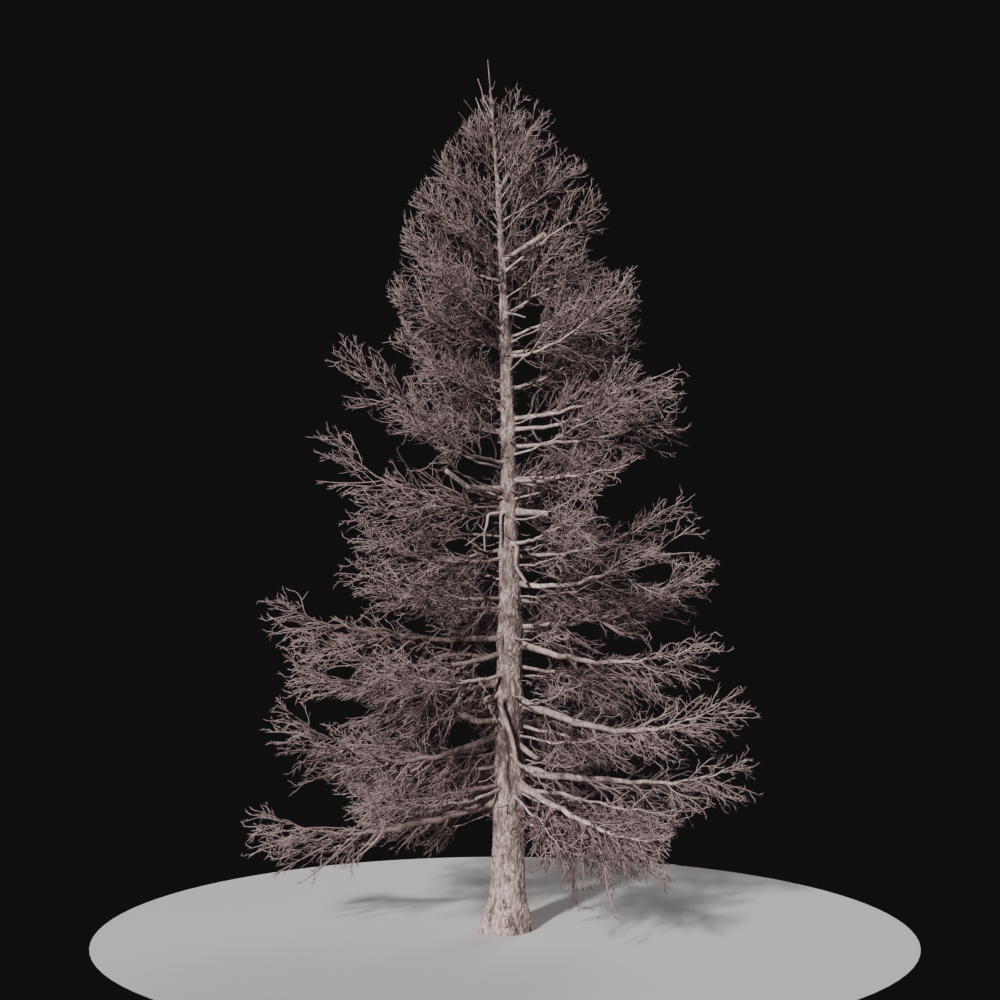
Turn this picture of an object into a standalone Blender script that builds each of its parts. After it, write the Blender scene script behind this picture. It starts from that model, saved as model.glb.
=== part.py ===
"""A bare dead conifer, rooted in level ground: trunk, main boughs, broken stubs and twig masses.

Units are metres, +Z is up. The origin is the middle of the flat cut under the trunk. Every limb,
stem and twig is worked out from the sizes below by the same few rules.
"""

import math
import random
from dataclasses import dataclass

import bmesh
import bpy
from mathutils import Vector
from mathutils.kdtree import KDTree

# --- the trunk -------------------------------------------------------------------------------
TREE_HEIGHT = 12.0
TRUNK_STEM_RADIUS = 0.247  # the stem's radius at the ground without its flare
TRUNK_TIP_RADIUS = 0.006
TRUNK_TAPER = 1.15  # 1 is a straight cone, more is slimmer in the middle
FLARE_RADIUS = 0.107  # how far the root flare stands out at the ground
FLARE_HEIGHT = 0.38
FLARE_LOBES = 5
FLARE_LOBE_DEPTH = 0.22  # as a share of the flare
FOOT_SWAY = 0.06  # the foot leans this far before the stem runs straight
FOOT_SWAY_HEIGHT = 0.6
LEADER_LEAN = 0.295  # how far the top leans back, towards -X
LEADER_LEAN_START = 5.0
LEADER_LEAN_POWER = 2.2
DEPTH_SWAY = 0.03
TRUNK_SIDES = 18
TRUNK_RINGS = 24
TRUNK_RING_SPACING_POWER = 1.5  # more rings near the ground

# --- boughs and twigs ------------------------------------------------------------------------
GAP = 0.0003  # between touching solids
BOUGH_ROOT_PER_REACH = 0.0135  # radius of a bough at the trunk for each metre of its reach
BOUGH_TIP_RADIUS = 0.006
LIMB_SIDES = 7
LIMB_RINGS = 6
STUB_RINGS = 5
STEM_SIDES = 5
STEM_RINGS = 6
TWIG_SIDES = 3
TWIG_TIP_RADIUS = 0.004
TWIG_SLIMNESS = 45.0  # length of a side branch for each unit of its root radius
SIDE_BRANCH_SHARE = 0.33  # longest side branch as a share of its bough's reach
SIDE_BRANCH_LEAST = 0.20
FIRST_BRANCH = 0.24  # share of the reach where a bough with no bare limb starts to branch
LAST_BRANCH = 0.94
BENT_LENGTH = 0.62  # side branches longer than this are bent and bear one more shoot
SIDE_ANGLE = math.radians(56.0)
SHOOT_ANGLE = math.radians(46.0)
SHOOT_SHARE = 0.52
SHOOT_STOUTNESS = 0.45  # a shoot's root radius as a share of its branch's
LEAST_BRANCH = 0.12
LEAST_SHOOT = 0.08
BRANCH_ROOT_CLEAR = 0.06  # the first stretch of a branch, inside its stem, isn't tested
SHOOT_ROOT_CLEAR = 0.02
GOLDEN_ANGLE = math.radians(137.5)
DROOP_HEIGHT = 4.5  # below it the side branches hang, above it they rise
DROOP_PER_METRE = 0.036
LIFT_PER_METRE = 0.10
FREE_HEIGHT = 6.8  # from here up, side branches stand all round their bough
LEAST_ROUND = 0.54  # near the ground this share of the round, centred below, bears branches
CELL_MARGIN = 0.03  # the space kept clear between two masses
LIMB_CLEARANCE = 0.012
SAMPLE_STEP = 0.03
GROUND_CLEARANCE = 0.35


@dataclass(frozen=True)
class Bough:
    """One bough: where it leaves the trunk, where it points and how it bends."""

    name: str
    height: float  # of its root, on the trunk's axis
    azimuth: float  # degrees, 0 is +X and 90 is +Y
    reach: float  # from the trunk's axis to its tip, seen from above
    slope: float  # at the root, rise per metre
    rise: float  # of its tip above its root
    curl: float = 2.5  # how late it turns up
    swing: float = 0.0  # how far it swings aside by its tip
    limb: float = 0.0  # share of the reach that is a bare limb, a solid of its own
    stoutness: float = 1.0
    branches: int = 10  # side branches of its twig mass


# name, height, azimuth, reach, slope, rise, curl, swing, limb, stoutness, branches
BOUGHS = (
    Bough("right_01", 2.22, 0, 3.28, -0.16, 0.10, 3.0, 0.0, 0.42, 1.40, 12),
    Bough("right_02", 3.19, 350, 3.14, -0.35, 0.17, 3.2, 0.1, 0.42, 1.45, 14),
    Bough("right_03", 2.08, 313, 2.98, -0.32, -0.50, 3.0, 0.0, 0.36, 1.25, 15),
    Bough("right_04", 3.98, 4, 2.80, -0.30, 0.08, 3.0, -0.1, 0.40, 1.35, 11),
    Bough("right_05", 4.12, 22, 3.00, 0.00, 0.94, 2.2, 0.0, 0.0, 0.9, 11),
    Bough("right_06", 4.80, 346, 2.58, -0.20, 0.85, 2.0, 0.0, 0.38, 1.10, 11),
    Bough("right_07", 5.16, 14, 2.55, -0.06, 0.80, 2.2, 0.0, 0.0, 0.9, 10),
    Bough("right_08", 6.20, 330, 1.95, -0.05, 0.25, 2.0, 0.0, 0.0, 1.0, 10),
    Bough("right_09", 6.65, 8, 2.28, 0.08, 0.36, 2.0, 0.0, 0.0, 1.0, 10),
    Bough("right_10", 7.05, 352, 2.28, 0.06, 0.70, 2.0, 0.1, 0.0, 1.0, 10),
    Bough("right_11", 7.44, 28, 1.95, 0.25, 0.80, 2.0, 0.0, 0.0, 1.0, 9),
    Bough("right_12", 7.90, 340, 1.82, 0.08, 1.20, 2.4, 0.0, 0.0, 1.0, 10),
    Bough("right_13", 8.47, 15, 1.48, 0.66, 0.85, 2.0, 0.0, 0.0, 1.0, 10),
    Bough("right_14", 9.05, 338, 1.46, 0.75, 0.88, 2.0, 0.0, 0.0, 1.0, 10),
    Bough("right_15", 9.75, 20, 1.20, 0.62, 0.80, 2.0, 0.0, 0.0, 1.0, 9),
    Bough("right_16", 10.20, 332, 0.54, 1.30, 0.82, 1.6, 0.0, 0.0, 1.2, 7),
    Bough("left_01", 1.82, 187, 3.44, -0.30, -0.14, 3.0, 0.0, 0.40, 1.15, 14),
    Bough("left_02", 2.78, 198, 3.22, -0.47, 0.42, 2.3, -0.1, 0.38, 1.05, 14),
    Bough("left_03", 2.47, 150, 2.90, -0.08, 0.10, 2.5, 0.0, 0.0, 0.95, 9),
    Bough("left_04", 4.03, 180, 3.22, -0.04, 0.56, 3.0, 0.1, 0.40, 1.0, 12),
    Bough("left_05", 3.88, 206, 3.00, -0.46, 0.24, 1.7, 0.0, 0.0, 0.95, 11),
    Bough("left_06", 3.42, 165, 3.05, -0.10, 0.05, 2.2, 0.0, 0.0, 0.95, 11),
    Bough("left_07", 5.27, 176, 2.12, -0.25, 0.42, 3.0, 0.0, 0.0, 1.0, 9),
    Bough("left_08", 4.58, 204, 2.28, -0.04, 0.56, 2.4, 0.0, 0.0, 0.9, 9),
    Bough("left_09", 5.92, 172, 2.52, 0.00, 0.94, 3.2, 0.0, 0.40, 1.0, 10),
    Bough("left_10", 6.86, 186, 2.30, 0.12, 1.18, 2.8, 0.0, 0.38, 1.05, 10),
    Bough("left_11", 7.42, 158, 1.75, 0.28, 0.66, 2.0, 0.0, 0.0, 1.0, 9),
    Bough("left_12", 8.02, 192, 1.66, 0.25, 0.74, 2.0, 0.0, 0.0, 1.0, 10),
    Bough("left_13", 8.58, 165, 1.48, 0.45, 1.08, 2.0, 0.0, 0.0, 1.0, 10),
    Bough("left_14", 9.12, 205, 1.33, 0.60, 0.96, 2.0, 0.0, 0.0, 1.0, 10),
    Bough("left_15", 9.64, 172, 0.93, 0.95, 1.14, 2.0, 0.0, 0.0, 1.1, 9),
    Bough("left_16", 10.38, 190, 0.48, 1.20, 0.76, 1.8, 0.0, 0.0, 1.3, 7),
    Bough("front_01", 2.04, 222, 2.75, -0.12, 0.08, 2.2, 0.0, 0.0, 0.95, 11),
    Bough("front_02", 2.47, 284, 2.60, -0.20, 0.15, 2.4, 0.0, 0.0, 0.95, 9),
    Bough("front_03", 3.54, 229, 2.60, -0.15, 0.35, 2.2, 0.0, 0.0, 0.95, 9),
    Bough("front_04", 5.34, 296, 2.30, 0.00, 0.60, 2.2, 0.0, 0.0, 0.95, 9),
    Bough("front_05", 6.44, 229, 2.05, 0.05, 0.70, 2.2, 0.0, 0.0, 1.0, 10),
    Bough("front_06", 8.24, 230, 1.55, 0.35, 0.80, 2.0, 0.0, 0.0, 1.0, 10),
    Bough("back_01", 2.14, 98, 3.20, -0.22, 0.05, 2.6, 0.0, 0.0, 1.1, 12),
    Bough("back_02", 2.89, 58, 3.10, -0.18, 0.25, 2.4, 0.0, 0.0, 0.95, 11),
    Bough("back_03", 4.39, 112, 2.80, -0.10, 0.60, 2.4, 0.0, 0.0, 0.95, 9),
    Bough("back_04", 5.69, 84, 2.30, 0.00, 0.70, 2.2, 0.0, 0.0, 0.95, 9),
    Bough("back_05", 7.14, 110, 1.95, 0.15, 0.80, 2.2, 0.0, 0.0, 1.0, 9),
    Bough("back_06", 8.74, 80, 1.50, 0.50, 0.95, 2.0, 0.0, 0.0, 1.0, 10),
)


@dataclass(frozen=True)
class Stub:
    """What is left of a broken limb: a short thick piece with a blunt end."""

    name: str
    height: float
    azimuth: float
    length: float  # from the trunk's axis
    slope: float
    root_radius: float
    end_radius: float
    upturn: float = 0.0  # rise of its last third


# name, height, azimuth, length, slope, root radius, end radius, upturn
STUBS = (
    Stub("stub_right_low", 2.66, 318, 0.50, -0.50, 0.036, 0.034),
    Stub("stub_front", 3.30, 224, 0.44, -0.22, 0.044, 0.040),
    Stub("stub_right", 5.78, 352, 0.53, -0.08, 0.040, 0.044),
    Stub("stub_left", 6.08, 212, 0.98, 0.03, 0.038, 0.030, 0.20),
    Stub("stub_right_top", 9.22, 322, 0.72, 0.42, 0.026, 0.046),
)


# --- lines that everything follows ------------------------------------------------------------
def trunk_axis(height):
    """The point on the trunk's middle line at a height."""
    foot = FOOT_SWAY * (1.0 - math.exp(-height / FOOT_SWAY_HEIGHT))
    above = max(0.0, height - LEADER_LEAN_START) / (TREE_HEIGHT - LEADER_LEAN_START)
    x = foot - LEADER_LEAN * above**LEADER_LEAN_POWER
    y = DEPTH_SWAY * math.sin(1.5 * math.pi * height / TREE_HEIGHT)
    return Vector((x, y, height))


def trunk_radius(height, around=None):
    """The trunk's radius at a height, with the flare's lobes where an angle is given."""
    share = min(1.0, max(0.0, 1.0 - height / TREE_HEIGHT))
    radius = TRUNK_TIP_RADIUS + (TRUNK_STEM_RADIUS - TRUNK_TIP_RADIUS) * share**TRUNK_TAPER
    flare = FLARE_RADIUS * math.exp(-((height / FLARE_HEIGHT) ** 2))
    if around is not None:
        flare *= 1.0 + FLARE_LOBE_DEPTH * math.cos(FLARE_LOBES * around + 0.9)
    return radius + flare


def heading(azimuth):
    """The level direction at an azimuth in degrees."""
    angle = math.radians(azimuth)
    return Vector((math.cos(angle), math.sin(angle), 0.0))


def bough_seed(bough):
    """A number of the bough's own that steers all its random draws."""
    return sum(ord(letter) * (place + 1) for place, letter in enumerate(bough.name))


def bough_point(bough, share):
    """The point on a bough's middle line at a share of its reach, from the trunk's axis."""
    along = heading(bough.azimuth)
    aside = Vector((-along.y, along.x, 0.0))
    start_rise = bough.slope * bough.reach
    rise = start_rise * share + (bough.rise - start_rise) * share**bough.curl
    phase = bough_seed(bough)
    crook = 0.018 * bough.reach * share * math.sin(7.0 * share + phase)
    lift = 0.012 * bough.reach * share * math.sin(9.0 * share + 2.0 * phase)
    point = trunk_axis(bough.height) + along * (bough.reach * share)
    point += aside * (bough.swing * share**2 + crook)
    point.z += rise + lift
    return point


def bough_radius(bough, share):
    """A bough's radius at a share of its reach."""
    root = BOUGH_ROOT_PER_REACH * bough.reach * bough.stoutness
    return BOUGH_TIP_RADIUS + (root - BOUGH_TIP_RADIUS) * (1.0 - share) ** 0.9


def bough_direction(bough, share):
    """The direction in which a bough runs at a share of its reach."""
    step = 0.01
    return (bough_point(bough, share + step) - bough_point(bough, share - step)).normalized()


# --- the rule by which side branches and shoots grow ---------------------------------------------
@dataclass(frozen=True)
class Twig:
    """One twig: a gently bent line that tapers from its root to its tip."""

    start: Vector
    direction: Vector
    bend: Vector
    length: float
    root_radius: float

    def point(self, share):
        """The point at a share of the twig's length."""
        return self.start + self.length * (self.direction * share + self.bend * (0.5 * share**2))

    def heading(self, share):
        """The direction in which the twig runs at a share of its length."""
        return (self.direction + self.bend * share).normalized()

    def radius(self, share):
        """The radius at a share of the twig's length."""
        return TWIG_TIP_RADIUS + (self.root_radius - TWIG_TIP_RADIUS) * (1.0 - share)


def turned_side(direction, roll):
    """A direction at right angles to another, rolled round it from straight down."""
    side = direction.cross(Vector((0.0, 0.0, 1.0)))
    if side.length < 0.01:
        side = Vector((1.0, 0.0, 0.0))
    side.normalize()
    down = direction.cross(side).normalized()
    return down * math.cos(roll) + side * math.sin(roll)


def lift_at(height):
    """How strongly twigs bend up at a height: down near the ground, up near the top."""
    above = height - DROOP_HEIGHT
    return above * (LIFT_PER_METRE if above > 0.0 else DROOP_PER_METRE)


def side_branches(bough, count):
    """The side branches of a bough's twig mass, from its limb's end to near its tip."""
    draw = random.Random(bough_seed(bough))
    first = bough.limb + 0.05 if bough.limb else FIRST_BRANCH
    hang = min(1.0, max(LEAST_ROUND, 1.0 - 0.13 * (FREE_HEIGHT - bough.height)))
    branches = []
    for number in range(count):
        share = first + (LAST_BRANCH - first) * (number + draw.uniform(0.15, 0.85)) / count
        roll = ((number * GOLDEN_ANGLE + draw.uniform(-0.4, 0.4)) % (2.0 * math.pi)) - math.pi
        roll *= hang
        direction = bough_direction(bough, share)
        out = turned_side(direction, roll)
        angle = SIDE_ANGLE * draw.uniform(0.8, 1.1) * (1.0 - 0.35 * share)
        begin = (direction * math.cos(angle) + out * math.sin(angle)).normalized()
        towards_tip = 1.0 - ((share - first) / (1.02 - first)) ** 2.2
        upright = 1.0 - 0.35 * abs(roll) / math.pi
        length = SIDE_BRANCH_LEAST + SIDE_BRANCH_SHARE * bough.reach * towards_tip * upright
        length *= draw.uniform(0.75, 1.05)
        bend = direction * 0.35 + Vector((0.0, 0.0, lift_at(bough.height)))
        radius = min(0.62 * bough_radius(bough, share), length / TWIG_SLIMNESS + 0.004)
        branches.append(Twig(bough_point(bough, share), begin, bend, length, radius))
    return branches


def shoots(parent, count, draw):
    """The shoots of one side branch, turned to either side of it by turns."""
    grown = []
    for number in range(count):
        share = 0.30 + 0.55 * (number + draw.uniform(0.2, 0.8)) / count
        roll = math.pi * (number % 2) + draw.uniform(0.3, 2.4)
        along = parent.heading(share)
        out = turned_side(along, roll)
        angle = SHOOT_ANGLE * draw.uniform(0.8, 1.15)
        begin = (along * math.cos(angle) + out * math.sin(angle)).normalized()
        length = SHOOT_SHARE * parent.length * (1.25 - share) * draw.uniform(0.8, 1.1)
        radius = SHOOT_STOUTNESS * parent.radius(share)
        grown.append(Twig(parent.point(share), begin, along * 0.2, length, radius))
    return grown


# --- the space that each mass keeps to ------------------------------------------------------------
def line_samples(bough, begin=0.0, end=1.0):
    """Points along a bough's middle line, one every few centimetres."""
    count = max(2, int(bough.reach * (end - begin) / SAMPLE_STEP))
    return [bough_point(bough, begin + (end - begin) * i / count) for i in range(count + 1)]


def tree_of(points):
    """A search tree over points."""
    tree = KDTree(len(points))
    for number, point in enumerate(points):
        tree.insert(point, number)
    tree.balance()
    return tree


def stub_point(stub, share):
    """The point on a stub's middle line at a share of its length."""
    point = trunk_axis(stub.height) + heading(stub.azimuth) * (stub.length * share)
    point.z += stub.slope * stub.length * share + stub.upturn * max(0.0, 3.0 * share - 2.0)
    return point


def stub_direction(stub, share):
    """The direction in which a stub runs at a share of its length."""
    return (stub_point(stub, share + 0.01) - stub_point(stub, share - 0.01)).normalized()


def stub_samples():
    """Points along every stub's middle line."""
    return [stub_point(stub, i / 12.0) for stub in STUBS for i in range(13)]


class Space:
    """The space of one twig mass: nearer to its own bough than to any other limb."""

    def __init__(self, bough):
        """Gather the middle lines of this bough, of the other boughs and of the stubs."""
        others = [point for other in BOUGHS if other is not bough for point in line_samples(other)]
        self.own = tree_of(line_samples(bough))
        self.others = tree_of(others)
        self.stubs = tree_of(stub_samples())
        self.limb = tree_of(line_samples(bough, 0.0, bough.limb)) if bough.limb else None
        self.limb_radius = bough_radius(bough, 0.0)

    def holds(self, point, radius):
        """Whether a twig of this radius may pass through a point."""
        if point.z < GROUND_CLEARANCE:
            return False
        axis = trunk_axis(min(point.z, TREE_HEIGHT))
        if (point - axis).length < trunk_radius(point.z) + radius + LIMB_CLEARANCE:
            return False
        own = self.own.find(point)[2]
        if self.others.find(point)[2] < own + radius + CELL_MARGIN:
            return False
        stub_clearance = max(stub.end_radius for stub in STUBS) + radius + LIMB_CLEARANCE
        if self.stubs.find(point)[2] < stub_clearance:
            return False
        if self.limb is None:
            return True
        return self.limb.find(point)[2] > self.limb_radius + radius + LIMB_CLEARANCE

    def fitted(self, twig, root_clear):
        """The twig, shortened until it keeps to this space, or None where it can't."""
        length = twig.length
        for _ in range(4):
            trial = Twig(twig.start, twig.direction, twig.bend, length, twig.root_radius)
            count = max(3, int(length / SAMPLE_STEP))
            shares = [i / count for i in range(count + 1) if length * i / count >= root_clear]
            if all(self.holds(trial.point(share), trial.radius(share)) for share in shares):
                return trial
            length *= 0.75
        return None


# --- meshes ---------------------------------------------------------------------------------------
def ring(mesh, centre, direction, radius, sides, guide):
    """Add one ring of vertices square to a direction and return them."""
    across = guide - direction * guide.dot(direction)
    across.normalize()
    up = direction.cross(across)
    turn = 2.0 * math.pi / sides
    points = (
        centre + across * (radius * math.cos(turn * i)) + up * (radius * math.sin(turn * i))
        for i in range(sides)
    )
    return [mesh.verts.new(point) for point in points]


def tube_object(name, points, directions, radii, sides, pointed=False):
    """Make an object from one tapering tube with closed ends.

    Args:
        name: the object's name.
        points: the tube's middle line, root first.
        directions: the way the line runs at each point.
        radii: the radius at each point.
        sides: how many sides the tube has.
        pointed: whether the last point is a sharp tip in place of a flat end.
    """
    mesh = bmesh.new()
    level = abs(directions[0].z) < 0.9 and abs(directions[-1].z) < 0.98
    guide = Vector((0.0, 0.0, 1.0)) if level else Vector((0.31, 0.95, 0.0))
    rings = []
    ringed = len(points) - 1 if pointed else len(points)
    for i in range(ringed):
        rings.append(ring(mesh, points[i], directions[i], radii[i], sides, guide))
    mesh.faces.new(list(reversed(rings[0])))
    for lower, upper in zip(rings, rings[1:]):
        for i in range(sides):
            j = (i + 1) % sides
            mesh.faces.new((lower[i], lower[j], upper[j], upper[i]))
    if pointed:
        tip = mesh.verts.new(points[-1])
        for i in range(sides):
            mesh.faces.new((rings[-1][i], rings[-1][(i + 1) % sides], tip))
    else:
        mesh.faces.new(rings[-1])
    return object_of(name, mesh)


def object_of(name, mesh):
    """Turn a bmesh into a scene object with its faces pointing out."""
    bmesh.ops.recalc_face_normals(mesh, faces=mesh.faces)
    data = bpy.data.meshes.new(name)
    mesh.to_mesh(data)
    mesh.free()
    made = bpy.data.objects.new(name, data)
    bpy.context.scene.collection.objects.link(made)
    return made


def trunk_object(name, growth=0.0):
    """Make the trunk, or the trunk grown by a small amount as a cutter."""
    mesh = bmesh.new()
    rings = []
    for number in range(TRUNK_RINGS):
        height = TREE_HEIGHT * (number / (TRUNK_RINGS - 1)) ** TRUNK_RING_SPACING_POWER
        axis = trunk_axis(height)
        points = []
        for i in range(TRUNK_SIDES):
            around = 2.0 * math.pi * i / TRUNK_SIDES
            radius = trunk_radius(height, around) + growth
            points.append(axis + Vector((math.cos(around), math.sin(around), 0.0)) * radius)
        rings.append([mesh.verts.new(point) for point in points])
    mesh.faces.new(list(reversed(rings[0])))
    mesh.faces.new(rings[-1])
    for lower, upper in zip(rings, rings[1:]):
        for i in range(TRUNK_SIDES):
            j = (i + 1) % TRUNK_SIDES
            mesh.faces.new((lower[i], lower[j], upper[j], upper[i]))
    return object_of(name, mesh)


def apply_modifiers(target):
    """Give an object the mesh that its modifiers make, in place of the modifiers."""
    bpy.context.view_layer.update()
    graph = bpy.context.evaluated_depsgraph_get()
    data = bpy.data.meshes.new_from_object(target.evaluated_get(graph))
    old = target.data
    target.modifiers.clear()
    target.data = data
    bpy.data.meshes.remove(old)


def cut_from(target, cutter):
    """Add the modifier that cuts an object clear of the trunk."""
    cut = target.modifiers.new("clear_of_trunk", "BOOLEAN")
    cut.operation = "DIFFERENCE"
    cut.object = cutter
    cut.solver = "EXACT"


def keep_largest(target):
    """Drop loose scraps, keeping the piece with the most vertices."""
    mesh = bmesh.new()
    mesh.from_mesh(target.data)
    unseen = set(mesh.verts)
    pieces = []
    while unseen:
        piece = {unseen.pop()}
        edge_of_growth = list(piece)
        while edge_of_growth:
            vertex = edge_of_growth.pop()
            for edge in vertex.link_edges:
                other = edge.other_vert(vertex)
                if other in unseen:
                    unseen.discard(other)
                    piece.add(other)
                    edge_of_growth.append(other)
        pieces.append(piece)
    pieces.sort(key=len, reverse=True)
    scraps = [vertex for piece in pieces[1:] for vertex in piece]
    bmesh.ops.delete(mesh, geom=scraps, context="VERTS")
    mesh.to_mesh(target.data)
    mesh.free()


# --- the pieces -----------------------------------------------------------------------------------
def bark_material(name, colour, roughness):
    """A plain dry bark."""
    material = bpy.data.materials.new(name)
    material.use_nodes = True
    shader = material.node_tree.nodes["Principled BSDF"]
    shader.inputs["Base Color"].default_value = (*colour, 1.0)
    shader.inputs["Roughness"].default_value = roughness
    shader.inputs["Metallic"].default_value = 0.0
    return material


def bough_tube(name, bough, shares, sides, start_gap=0.0, pointed=False):
    """A tube along a stretch of a bough, its first ring moved on by a small gap."""
    points = [bough_point(bough, share) for share in shares]
    directions = [bough_direction(bough, share) for share in shares]
    radii = [bough_radius(bough, share) for share in shares]
    points[0] = points[0] + directions[0] * start_gap
    return tube_object(name, points, directions, radii, sides, pointed)


def limb_object(bough, cutter):
    """The bare inner part of a bough, cut to fit against the trunk."""
    begin = 0.3 * trunk_radius(bough.height) / bough.reach
    shares = [begin + (bough.limb - begin) * i / (LIMB_RINGS - 1) for i in range(LIMB_RINGS)]
    made = bough_tube(f"bough_{bough.name}", bough, shares, LIMB_SIDES)
    cut_from(made, cutter)
    apply_modifiers(made)
    return made


def stem_object(bough):
    """The stem of a twig mass, which runs on from the limb's tip or out of the trunk."""
    begin = bough.limb or 0.3 * trunk_radius(bough.height) / bough.reach
    shares = [begin + (1.0 - begin) * i / (STEM_RINGS - 1) for i in range(STEM_RINGS)]
    start_gap = GAP if bough.limb else 0.0
    return bough_tube(f"twigs_{bough.name}", bough, shares, STEM_SIDES, start_gap, pointed=True)


def twig_object(twig, segments):
    """One twig as a three-sided spike of a few segments."""
    shares = [i / segments for i in range(segments + 1)]
    points = [twig.point(share) for share in shares]
    directions = [twig.heading(share) for share in shares]
    radii = [twig.radius(share) for share in shares]
    return tube_object("twig", points, directions, radii, TWIG_SIDES, pointed=True)


def mass_object(bough, cutter):
    """A twig mass: a stem with side branches and shoots, joined into one closed body."""
    space = Space(bough)
    draw = random.Random(bough_seed(bough) + 1)
    stem = stem_object(bough)
    twigs = bpy.data.collections.new(f"twigs_of_{bough.name}")
    bpy.context.scene.collection.children.link(twigs)
    for number, branch in enumerate(side_branches(bough, bough.branches)):
        fitted = space.fitted(branch, BRANCH_ROOT_CLEAR)
        if fitted is None or fitted.length < LEAST_BRANCH:
            continue
        grown = [twig_object(fitted, 2 if fitted.length > BENT_LENGTH else 1)]
        for shoot in shoots(fitted, number % 2 + (fitted.length > BENT_LENGTH), draw):
            kept = space.fitted(shoot, SHOOT_ROOT_CLEAR)
            if kept is not None and kept.length > LEAST_SHOOT:
                grown.append(twig_object(kept, 1))
        for made in grown:
            bpy.context.scene.collection.objects.unlink(made)
            twigs.objects.link(made)
    union = stem.modifiers.new("join_twigs", "BOOLEAN")
    union.operation = "UNION"
    union.operand_type = "COLLECTION"
    union.collection = twigs
    union.solver = "EXACT"
    if not bough.limb:
        cut_from(stem, cutter)
    apply_modifiers(stem)
    for made in list(twigs.objects):
        bpy.data.objects.remove(made)
    bpy.data.collections.remove(twigs)
    keep_largest(stem)
    return stem


def stub_object(stub, cutter):
    """A broken stub with a blunt, slightly slanted end, cut to fit against the trunk."""
    begin = 0.3 * trunk_radius(stub.height) / stub.length
    shares = [begin + (1.0 - begin) * i / (STUB_RINGS - 1) for i in range(STUB_RINGS)]
    points = [stub_point(stub, share) for share in shares]
    directions = [stub_direction(stub, share) for share in shares]
    radii = [stub.root_radius + (stub.end_radius - stub.root_radius) * share for share in shares]
    made = tube_object(stub.name, points, directions, radii, LIMB_SIDES)
    cut_from(made, cutter)
    apply_modifiers(made)
    return made


def main():
    """Build the whole tree."""
    for old in list(bpy.data.objects):
        bpy.data.objects.remove(old)
    bark = bark_material("trunk_bark", (0.42, 0.35, 0.32), 0.9)
    limb_bark = bark_material("bough_bark", (0.45, 0.38, 0.35), 0.88)
    twig_bark = bark_material("twig_bark", (0.30, 0.23, 0.21), 0.85)
    trunk = trunk_object("trunk")
    trunk.data.materials.append(bark)
    cutter = trunk_object("trunk_cutter", GAP)
    for stub in STUBS:
        stub_object(stub, cutter).data.materials.append(limb_bark)
    for bough in BOUGHS:
        if bough.limb:
            limb_object(bough, cutter).data.materials.append(limb_bark)
        mass_object(bough, cutter).data.materials.append(twig_bark)
    bpy.data.objects.remove(cutter)


main()
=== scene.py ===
"""Looks of a bare dead conifer: barked trunk and boughs, broken stubs and a crown of fine dry twigs.

Units are metres, +Z is up and the origin is the middle of the flat cut under the trunk. The boughs and
their side branches follow the same rule as the solids and are carried on to finer twigs.
"""

import logging
import math
import random
from dataclasses import dataclass, field, replace
from enum import Enum

import bpy
import numpy as np
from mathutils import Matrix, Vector


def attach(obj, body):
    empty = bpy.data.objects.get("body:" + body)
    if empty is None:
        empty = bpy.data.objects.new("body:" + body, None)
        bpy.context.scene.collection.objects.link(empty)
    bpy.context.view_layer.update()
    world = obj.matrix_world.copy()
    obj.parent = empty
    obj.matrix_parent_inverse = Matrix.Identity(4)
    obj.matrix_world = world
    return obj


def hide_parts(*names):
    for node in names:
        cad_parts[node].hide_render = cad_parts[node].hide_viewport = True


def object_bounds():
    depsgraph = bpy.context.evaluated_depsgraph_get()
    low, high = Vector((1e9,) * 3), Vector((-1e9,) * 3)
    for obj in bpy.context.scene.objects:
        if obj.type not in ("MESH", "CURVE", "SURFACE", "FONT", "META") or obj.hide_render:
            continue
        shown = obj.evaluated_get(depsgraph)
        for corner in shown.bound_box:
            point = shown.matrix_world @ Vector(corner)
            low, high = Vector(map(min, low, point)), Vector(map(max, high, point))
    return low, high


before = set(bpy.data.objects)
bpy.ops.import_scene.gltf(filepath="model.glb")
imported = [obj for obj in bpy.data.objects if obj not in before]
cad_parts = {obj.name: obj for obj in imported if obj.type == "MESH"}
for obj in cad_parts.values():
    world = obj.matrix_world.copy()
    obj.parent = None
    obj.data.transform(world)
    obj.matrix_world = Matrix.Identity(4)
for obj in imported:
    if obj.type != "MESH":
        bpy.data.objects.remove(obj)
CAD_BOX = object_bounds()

LOG = logging.getLogger("dead_conifer")
UP = np.array((0.0, 0.0, 1.0))
GOLDEN_ANGLE = math.radians(137.5)


class Side(Enum):
    """The four sides of the crown, with the azimuth that each one faces."""

    RIGHT = 0.0
    BACK = 90.0
    LEFT = 180.0
    FRONT = 270.0

    @staticmethod
    def facing(azimuth: float) -> "Side":
        """The side that an azimuth in degrees falls on."""
        return min(Side, key=lambda side: abs((azimuth - side.value + 180.0) % 360.0 - 180.0))


class Tint(Enum):
    """The plain colours that are dealt out to the twigs, spray by spray (linear RGB); the darker ones are
    in part painted shade deep in the crown.
    """

    PALE = (0.330, 0.246, 0.240)
    ROSY = (0.250, 0.178, 0.175)
    TAN = (0.200, 0.145, 0.138)
    DUSKY = (0.115, 0.079, 0.077)


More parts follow.
